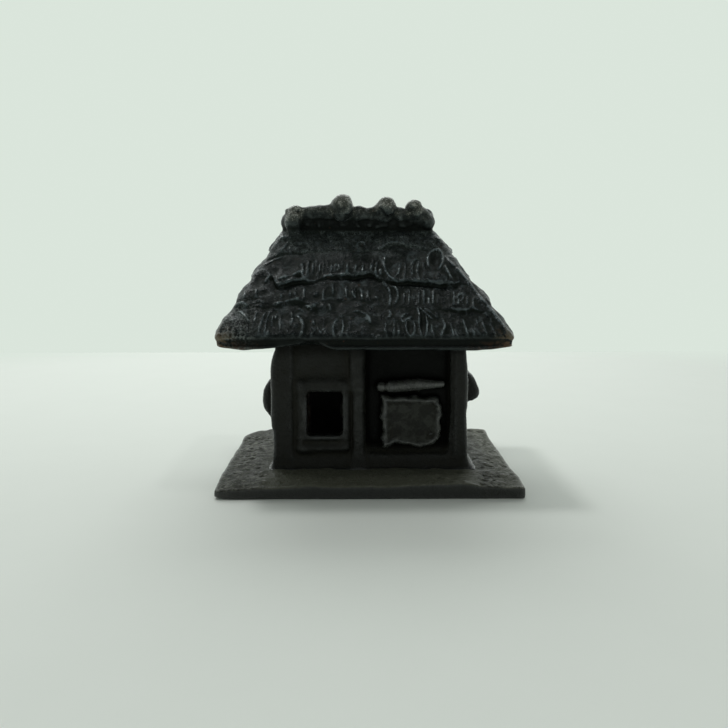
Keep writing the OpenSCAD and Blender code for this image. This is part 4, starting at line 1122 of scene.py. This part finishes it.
def iron(name, part):
    N = Nodes(name)
    p = N.mm()
    X, Y, Z = N.xyz(p)
    fine, broad = N.attr("fine_relief"), N.attr("broad_relief")
    grime = N.noise(p, 0.22, 4, 0.6)
    blot = N.noise(p, 0.75, 3, 0.6, 0.4)
    speck = N.noise(p, 2.6, 2, 0.5)
    hollow = N.ramp(N.math("ADD", fine, N.math("MULTIPLY", N.math("SUBTRACT", blot, 0.5), 0.16)), -0.06, 0.10)
    raised = N.ramp(N.math("ADD", fine, N.math("MULTIPLY", N.math("SUBTRACT", speck, 0.5), 0.10)), -0.05, -0.22)
    cavity_shade = N.ramp(broad, 0.15, 0.9)
    if part == "roof":
        base = N.mix(grime, rgb(0.0030, 0.0044, 0.0056), rgb(0.0046, 0.0062, 0.0048))
    else:
        base = N.mix(grime, rgb(0.0085, 0.0096, 0.0085), rgb(0.0125, 0.0130, 0.0095))
    base = N.mix(hollow, base, rgb(0.0052, 0.0076, 0.0050) if part == "roof" else rgb(0.0115, 0.0115, 0.0070))
    patch = N.math("MULTIPLY", N.ramp(blot, 0.46, 0.62, 0.10, 0.9), N.ramp(Z, 46.4, 47.8, 0.10, 1.0)) if part == "roof" else 0.75
    # raised edges painted lighter: rubbed wear and painted highlight
    base = N.mix(N.math("MULTIPLY", raised, patch), base, RAISED_WEAR_AND_SHEEN[part])
    # painted shade: the deep hollows of the broad relief painted near black
    base = N.mix(cavity_shade, base, rgb(0.0025, 0.0025, 0.0020))
    # patchy gloss: shiny paint on what stands proud, dull in the hollows
    dull = N.math("ADD", N.math("SUBTRACT", hollow, N.math("MULTIPLY", raised, 0.6)), N.math("MULTIPLY", N.math("SUBTRACT", grime, 0.5), 1.3))
    rough = N.ramp(dull, -0.6, 1.0, 0.17, 0.52)
    up = N.xyz(N.new("ShaderNodeNewGeometry").outputs["Normal"])[2]
    spec = N.math("MULTIPLY_ADD", raised, 0.25, {"roof": 0.18, "walls": 0.26, "base": 0.08}[part])
    if part == "roof":
        # painted highlight: the crests of the raised cords are painted a bright bluish grey in places, with more
        # specular and less roughness there
        broken = N.noise(p, 0.55, 3, 0.65)
        cord_highlight = N.math("MULTIPLY", N.ramp(N.math("ADD", N.attr("cord"), N.math("MULTIPLY", N.math("SUBTRACT", speck, 0.5), 2.0)), 0.35, 1.05), N.ramp(broken, 0.45, 0.60, 0.06, 1.0))
        # painted light: the top course under the ridge, which lies in the ridge's shade, painted lighter in sheen
        # patches
        upper_course_light = N.math("MULTIPLY", N.math("MULTIPLY", N.ramp(Z, 67.0, 71.0), N.ramp(Z, 77.5, 76.5)), N.ramp(speck, 0.36, 0.62))
        sheen = N.ramp(N.math("ADD", N.noise(p, 0.45, 4, 0.65, 0.5), N.math("MULTIPLY", raised, 0.10)), 0.46, 0.64)
        base = N.mix(N.math("MULTIPLY", upper_course_light, N.math("MULTIPLY_ADD", sheen, 0.7, 0.25)), base, rgb(0.095, 0.112, 0.108))
        # painted highlight: a pale speckled patch at the foot of the left front hip
        hip_foot_highlight = N.math("MULTIPLY", N.math("MULTIPLY", N.ramp(X, -30.0, -37.0), N.ramp(Z, 60.0, 53.0)), N.ramp(Y, -12.0, -19.0))
        base = N.mix(N.math("MULTIPLY", hip_foot_highlight, N.ramp(N.math("ADD", N.noise(p, 1.6, 2, 0.6), N.math("MULTIPLY", raised, 0.08)), 0.46, 0.64)), base, rgb(0.120, 0.132, 0.125))
        # painted sheen: the ridge above the thatch painted lighter in patches
        ridge_sheen = N.math("MULTIPLY", N.ramp(Z, 77.5, 79.0), N.math("MULTIPLY_ADD", sheen, 0.65, 0.15))
        base = N.mix(ridge_sheen, base, rgb(0.070, 0.080, 0.078))
        # painted sheen: irregular lighter patches over the thatch, faded out at the eave
        bundle_sheen = N.math("MULTIPLY", N.ramp(Z, 77.0, 76.0), N.ramp(N.math("ADD", N.noise(p, 0.30, 5, 0.7, 0.6), N.math("MULTIPLY", raised, 0.06)), 0.52, 0.68))
        base = N.mix(N.math("MULTIPLY", bundle_sheen, N.ramp(Z, 46.4, 47.6, 0.0, 0.75)), base, rgb(0.062, 0.076, 0.080))
        base = N.mix(cord_highlight, base, rgb(0.165, 0.198, 0.215))
        spec = N.math("MULTIPLY_ADD", cord_highlight, 0.9, spec)
        rough = N.math("SUBTRACT", rough, N.math("MULTIPLY", cord_highlight, 0.14))
        # greyer ends and tops of the logs: rubbed wear, painted lighter on the upward faces as painted top light, with
        # painted glints on them
        ends_ = N.math("MULTIPLY", N.ramp(N.math("ABSOLUTE", Y), 4.9, 6.2), N.ramp(Z, 79.0, 80.5))
        top = N.math("MULTIPLY", N.math("MAXIMUM", ends_, N.ramp(Z, 84.0, 86.0)), N.ramp(N.math("ADD", N.math("ADD", up, speck), N.math("MULTIPLY", N.math("SUBTRACT", blot, 0.5), 1.2)), 0.0, 1.0))
        logs = None
        for at, half in ((-23.2, 2.9), (-8.4, 3.5), (5.2, 3.2), (14.3, 2.6)):
            one = N.ramp(N.math("ABSOLUTE", N.math("SUBTRACT", X, at)), half + 0.6, half - 0.4)
            logs = one if logs is None else N.math("MAXIMUM", logs, one)
        top = N.math("MULTIPLY", top, N.math("MULTIPLY_ADD", logs, 0.62, 0.38))
        base = N.mix(N.math("MULTIPLY", top, 0.8), base, rgb(0.105, 0.107, 0.088))
        glint = N.math("MULTIPLY", top, N.ramp(N.math("ADD", N.noise(p, 1.9, 2, 0.6), N.math("MULTIPLY", raised, 0.12)), 0.52, 0.66))
        base = N.mix(glint, base, rgb(0.33, 0.33, 0.30))
        # painted shade on the face under the ridge roll, where the roll's shadow falls; rougher there too
        under_roll_shade = N.math("MULTIPLY", N.ramp(Z, 82.2, 80.6), N.ramp(Z, 76.6, 77.6))
        under_roll_shade = N.math("MULTIPLY", under_roll_shade, N.ramp(N.math("ABSOLUTE", Y), 5.6, 4.9))
        base = N.mix(N.math("MULTIPLY", under_roll_shade, 0.8), base, rgb(0.003, 0.003, 0.0025))
        rough = N.math("ADD", rough, N.math("MULTIPLY", under_roll_shade, 0.25))
        # bare bronze-brown metal at the eave corners
        cx_ = N.math("ABSOLUTE", N.math("ADD", X, 1.5)); cy_ = N.math("ABSOLUTE", Y)
        corner = N.math("MULTIPLY", N.ramp(cx_, 35.0, 42.0), N.ramp(cy_, 24.0, 31.0))
        corner = N.math("MULTIPLY", corner, N.ramp(Z, 52.0, 45.0))
        corner = N.math("MULTIPLY", corner, N.ramp(N.math("ADD", blot, N.math("MULTIPLY", raised, 0.35)), 0.42, 0.66))
        base = N.mix(N.math("MULTIPLY", corner, 0.8), base, rgb(0.17, 0.125, 0.075))
        # rusty undersides of the eave ends
        under = N.math("MULTIPLY", N.ramp(Z, 46.0, 44.4), N.ramp(cx_, 26.0, 40.0))
        under = N.math("MULTIPLY", under, N.ramp(blot, 0.40, 0.62))
        base = N.mix(N.math("MULTIPLY", under, 0.7), base, rgb(0.105, 0.050, 0.028))
        # painted shade: dark band along the hollow eave face, rougher there too
        band = N.math("MAXIMUM", N.ramp(N.math("ABSOLUTE", Y), 30.3, 31.1), N.ramp(cx_, 40.9, 41.9))
        band = N.math("MULTIPLY", N.math("MULTIPLY", band, N.ramp(Z, 46.3, 45.7)), N.ramp(Z, 43.4, 44.2))
        band = N.math("MULTIPLY", band, N.math("SUBTRACT", 1.0, corner))
        base = N.mix(N.math("MULTIPLY", band, 0.75), base, rgb(0.0035, 0.0035, 0.0030))
        rough = N.math("ADD", rough, N.math("MULTIPLY", band, 0.2))
        rust = N.math("MULTIPLY", N.ramp(blot, 0.66, 0.74), hollow)
        base = N.mix(N.math("MULTIPLY", rust, 0.6), base, rgb(0.075, 0.036, 0.022))
        rough = N.math("ADD", rough, N.math("MULTIPLY", top, 0.15))
    if part == "base":
        mid = N.noise(p, 1.3, 3, 0.65, 0.3)
        pale = N.mix(N.ramp(mid, 0.40, 0.60), rgb(0.006, 0.0065, 0.0042), rgb(0.115, 0.121, 0.088))
        pale = N.mix(N.math("MULTIPLY", N.ramp(N.noise(p, 0.42, 3, 0.6, 0.4), 0.40, 0.60, 0.75, 0.0), 1.0), pale, rgb(0.024, 0.026, 0.017))
        # painted sheen: the right end of the ground painted paler
        pale = N.mix(N.math("MULTIPLY", N.ramp(X, 34.0, 41.0), 0.75), pale, rgb(0.145, 0.150, 0.115))
        # painted light: the ground in front of the walls, in their shadow, takes an even pale tone; the mottled pale
        # stays at the ends and the rear
        ends = N.math("MAXIMUM", N.ramp(N.math("ABSOLUTE", X), 29.0, 35.0), N.ramp(Y, 17.0, 22.0))
        pale = N.mix(ends, rgb(0.098, 0.101, 0.076), pale)
        base = N.mix(0.6, base, rgb(0.030, 0.032, 0.030))
        # painted top light: upward faces take the pale colour, the sides keep the dark one
        base = N.mix(N.math("MULTIPLY", N.ramp(up, 0.2, 0.8), 0.92), base, pale)
        spec = N.math("ADD", spec, N.ramp(up, 0.7, 0.2, 0.0, 0.35))
        dots = N.math("MULTIPLY", N.ramp(speck, 0.52, 0.62), N.ramp(blot, 0.40, 0.52))
        base = N.mix(N.math("MULTIPLY", N.math("MULTIPLY", dots, 0.8), ends), base, rgb(0.006, 0.006, 0.0045))
        base = N.mix(N.math("MULTIPLY", N.math("MULTIPLY", hollow, 0.6), ends), base, rgb(0.010, 0.010, 0.007))
        rough = N.math("ADD", rough, 0.12)
    if part == "walls":
        # painted shade: the bay and the wall under the eaves painted near black, with less specular and more roughness
        bay = N.math("MULTIPLY", N.math("MULTIPLY", N.ramp(Y, -16.4, -15.2), N.ramp(Y, -8.0, -12.0)), N.ramp(Z, 8.0, 12.5))
        bay = N.math("MULTIPLY", bay, N.ramp(N.math("ABSOLUTE", N.math("SUBTRACT", X, 11.0)), 14.0, 12.6))
        bay = N.math("MAXIMUM", bay, N.math("MULTIPLY", N.ramp(Z, 38.0, 42.5), 0.6))
        base = N.mix(N.math("MULTIPLY", bay, 0.8), base, rgb(0.0014, 0.0014, 0.0010))
        spec = N.math("MULTIPLY", spec, N.math("MULTIPLY_ADD", bay, -0.85, 1.0))
        # painted highlight: pole and mat painted a little brighter, with more specular and less roughness
        pole_highlight = N.math("MULTIPLY", N.ramp(Y, -16.4, -17.6), N.ramp(N.math("ABSOLUTE", N.math("SUBTRACT", X, 12.4)), 11.6, 10.9))
        pole_highlight = N.math("MULTIPLY", pole_highlight, N.ramp(N.math("ADD", Z, N.math("MULTIPLY", speck, 3.0)), 26.0, 31.0))
        base = N.mix(N.math("MULTIPLY", pole_highlight, N.ramp(speck, 0.38, 0.62, 0.25, 0.75)), base, rgb(0.060, 0.061, 0.058))
        inbay = N.math("MULTIPLY", N.ramp(Y, -16.2, -16.9), N.ramp(N.math("ABSOLUTE", N.math("SUBTRACT", X, 12.4)), 11.6, 10.9))
        # painted highlight: a broken bright rim on the mat's raised edges
        rim = N.math("MULTIPLY", N.math("MULTIPLY", inbay, N.ramp(Z, 9.5, 11.0)), N.ramp(N.math("ADD", broad, N.math("MULTIPLY", N.math("SUBTRACT", speck, 0.5), 0.3)), -0.12, -0.55))
        rim = N.math("MULTIPLY", rim, N.ramp(N.noise(p, 0.8, 3, 0.6), 0.40, 0.62, 0.15, 1.0))
        inbay = N.math("MULTIPLY", inbay, N.ramp(Z, 9.8, 11.2))
        base = N.mix(N.math("MULTIPLY", inbay, N.ramp(N.noise(p, 0.34, 4, 0.65), 0.42, 0.60, 0.0, 0.75)), base, rgb(0.044, 0.047, 0.040))
        base = N.mix(N.math("MULTIPLY", rim, N.ramp(speck, 0.42, 0.64, 0.05, 0.5)), base, rgb(0.085, 0.090, 0.082))
        spec = N.math("MULTIPLY_ADD", N.math("MAXIMUM", rim, pole_highlight), 0.45, spec)
        rough = N.math("SUBTRACT", rough, N.math("MULTIPLY", N.math("MAXIMUM", rim, pole_highlight), 0.08))
        rough = N.math("ADD", rough, N.math("MULTIPLY_ADD", bay, 0.35, 0.04))
    b = N.new("ShaderNodeBsdfPrincipled")
    N.put(b.inputs["Base Color"], base)
    N.put(b.inputs["Roughness"], rough)
    b.inputs["IOR"].default_value = 1.5
    N.put(b.inputs["Specular IOR Level"], spec)
    if part == "roof":
        b.inputs["Specular Tint"].default_value = rgb(0.88, 1.0, 0.98)
    # cast grain
    g1 = N.noise(p, 3.4, 3, 0.6)
    vor = N.new("ShaderNodeTexVoronoi")
    N.put(vor.inputs["Vector"], p); vor.inputs["Scale"].default_value = 1.5
    pit = N.ramp(vor.outputs["Distance"], 0.0, 0.32)
    hgt = N.math("ADD", N.math("MULTIPLY", g1, 0.17), N.math("MULTIPLY", pit, 0.07 if part != "base" else 0.16))
    hgt = N.math("ADD", hgt, N.math("MULTIPLY", N.noise(p, 1.05, 3, 0.6), 0.36 if part != "base" else 0.6))
    bump = N.new("ShaderNodeBump")
    bump.inputs["Strength"].default_value = 0.8
    bump.inputs["Distance"].default_value = 0.001
    N.put(bump.inputs["Height"], hgt)
    N.put(b.inputs["Normal"], bump.outputs[0])
    N.put(N.out.inputs[0], b.outputs[0])
    return N.m


for ob, part in ((roof_ob, "roof"), (walls_ob, "walls"), (base_ob, "base")):
    ob.data.materials.clear()
    ob.data.materials.append(iron("cast_iron_" + part, part))


def steel(name, tone, rust_amt, rough0):
    N = Nodes(name)
    p = N.mm()
    a, c = N.noise(p, 0.5, 4, 0.6, 0.3), N.noise(p, 3.0, 3, 0.6)
    d = N.noise(p, 9.0, 2, 0.5)
    lo = tuple(v * 0.62 for v in tone); hi = tuple(v * 1.15 for v in tone)
    col = N.mix(a, rgb(*lo), rgb(*hi))
    rust = N.math("MULTIPLY", N.ramp(N.math("ADD", a, N.math("MULTIPLY", c, 0.4)), 0.62, 0.84), rust_amt)
    col = N.mix(rust, col, rgb(0.13, 0.062, 0.030))
    b = N.new("ShaderNodeBsdfPrincipled")
    N.put(b.inputs["Base Color"], col)
    N.put(b.inputs["Metallic"], N.math("SUBTRACT", 0.92, N.math("MULTIPLY", rust, 0.85)))
    N.put(b.inputs["Roughness"], N.math("ADD", N.math("MULTIPLY", c, 0.22), N.math("MULTIPLY_ADD", rust, 0.3, rough0)))
    bump = N.new("ShaderNodeBump")
    bump.inputs["Strength"].default_value = 0.6; bump.inputs["Distance"].default_value = 0.001
    N.put(bump.inputs["Height"], N.math("ADD", N.math("MULTIPLY", c, 0.05), N.math("MULTIPLY", d, 0.03)))
    N.put(b.inputs["Normal"], bump.outputs[0])
    N.put(N.out.inputs[0], b.outputs[0])
    return N.m


aged = steel("aged_steel", (0.34, 0.33, 0.30), 0.8, 0.34)
black = steel("blackened_steel", (0.085, 0.083, 0.078), 0.45, 0.36)
for nm in ("clamp_screws", "screw_washers", "square_nuts", "trap_rivet", "rivet_burr", "spring_washer", "trap_cover"):
    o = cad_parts[nm]
    o.data.materials.clear()
    o.data.materials.append(black if nm == "trap_cover" else aged)
    bv = o.modifiers.new("edges", "BEVEL")
    bv.width = 0.00012; bv.segments = 2; bv.limit_method = "ANGLE"; bv.angle_limit = math.radians(40)

# =============================================================================
# floor, backdrop and light
# =============================================================================
fm = bpy.data.meshes.new("floor")
fm.from_pydata([(-0.9, -0.9, 0), (0.9, -0.9, 0), (0.9, 0.295, 0), (-0.9, 0.295, 0),
                (-0.041, -0.031, 0), (0.041, -0.031, 0), (0.041, 0.031, 0), (-0.041, 0.031, 0)], [],
               [(0, 1, 5, 4), (1, 2, 6, 5), (2, 3, 7, 6), (3, 0, 4, 7)])
floor = bpy.data.objects.new("floor", fm)
scene.collection.objects.link(floor)
N = Nodes("pale_floor")
p = N.mm()
col = N.mix(N.noise(p, 0.05, 3, 0.5), rgb(0.765, 0.800, 0.752), rgb(0.785, 0.820, 0.772))
b = N.new("ShaderNodeBsdfPrincipled")
N.put(b.inputs["Base Color"], col)
b.inputs["Roughness"].default_value = 0.8
b.inputs["Specular IOR Level"].default_value = 0.2
far = N.new("ShaderNodeVectorMath", operation="LENGTH")
N.put(far.inputs[0], p)
sweep = N.new("ShaderNodeEmission")
sweep.inputs[0].default_value = rgb(0.705, 0.785, 0.712)
fade = N.new("ShaderNodeMixShader")
N.put(fade.inputs[0], N.ramp(far.outputs["Value"], 290.0, 420.0))
N.put(fade.inputs[1], b.outputs[0]); N.put(fade.inputs[2], sweep.outputs[0])
clear = N.new("ShaderNodeBsdfTransparent")
ms = N.new("ShaderNodeMixShader")
N.put(ms.inputs[0], N.new("ShaderNodeNewGeometry").outputs["Backfacing"])
N.put(ms.inputs[1], fade.outputs[0]); N.put(ms.inputs[2], clear.outputs[0])
N.put(N.out.inputs[0], ms.outputs[0])
fm.materials.append(N.m)

w = bpy.data.worlds.new("studio")
scene.world = w
w.use_nodes = True
t = w.node_tree
t.nodes.clear()
NW = Nodes.__new__(Nodes)
NW.t = t
NW.out = t.nodes.new("ShaderNodeOutputWorld")
dvec = NW.new("ShaderNodeTexCoord").outputs["Generated"]
dX, dY, dZ = NW.xyz(dvec)
# bright behind, above and to the sides; dark from the viewer's side
amb = NW.math("MULTIPLY", NW.ramp(dY, -0.85, 0.9, 0.26, 1.2), NW.ramp(dZ, 0.40, 0.85, 1.0, 0.22))
light = NW.new("ShaderNodeBackground")
NW.put(light.inputs[0], rgb(0.93, 1.0, 0.955))
NW.put(light.inputs[1], amb)
seen = NW.new("ShaderNodeBackground")
NW.put(seen.inputs[0], rgb(0.705, 0.785, 0.712))
seen.inputs[1].default_value = 1.0
sel = NW.new("ShaderNodeMixShader")
NW.put(sel.inputs[0], NW.new("ShaderNodeLightPath").outputs["Is Camera Ray"])
NW.put(sel.inputs[1], light.outputs[0]); NW.put(sel.inputs[2], seen.outputs[0])
NW.put(NW.out.inputs[0], sel.outputs[0])


def softbox(name, loc, at, size, power, color=(1, 1, 1)):
    l = bpy.data.lights.new(name, "AREA")
    l.shape = "RECTANGLE"; l.size, l.size_y = size
    l.energy = power; l.color = color
    o = bpy.data.objects.new(name, l)
    o.location = loc
    o.rotation_mode = "QUATERNION"
    o.rotation_quaternion = (Vector(at) - Vector(loc)).to_track_quat("-Z", "Y")
    scene.collection.objects.link(o)
    return o


softbox("overhead", (-0.06, 0.60, 0.62), (0, 0, 0.02), (0.8, 0.35), 3.2, (0.97, 1.0, 0.985))
softbox("key", (-0.20, 0.12, 0.62), (0, 0, 0.05), (0.09, 0.09), 0.85, (1.0, 1.0, 1.0))
softbox("spark", (0.20, -0.12, 0.60), (0, 0, 0.05), (0.05, 0.05), 0.22, (1.0, 1.0, 1.0))
scene.view_settings.view_transform = "Standard"
scene.view_settings.look = "None"
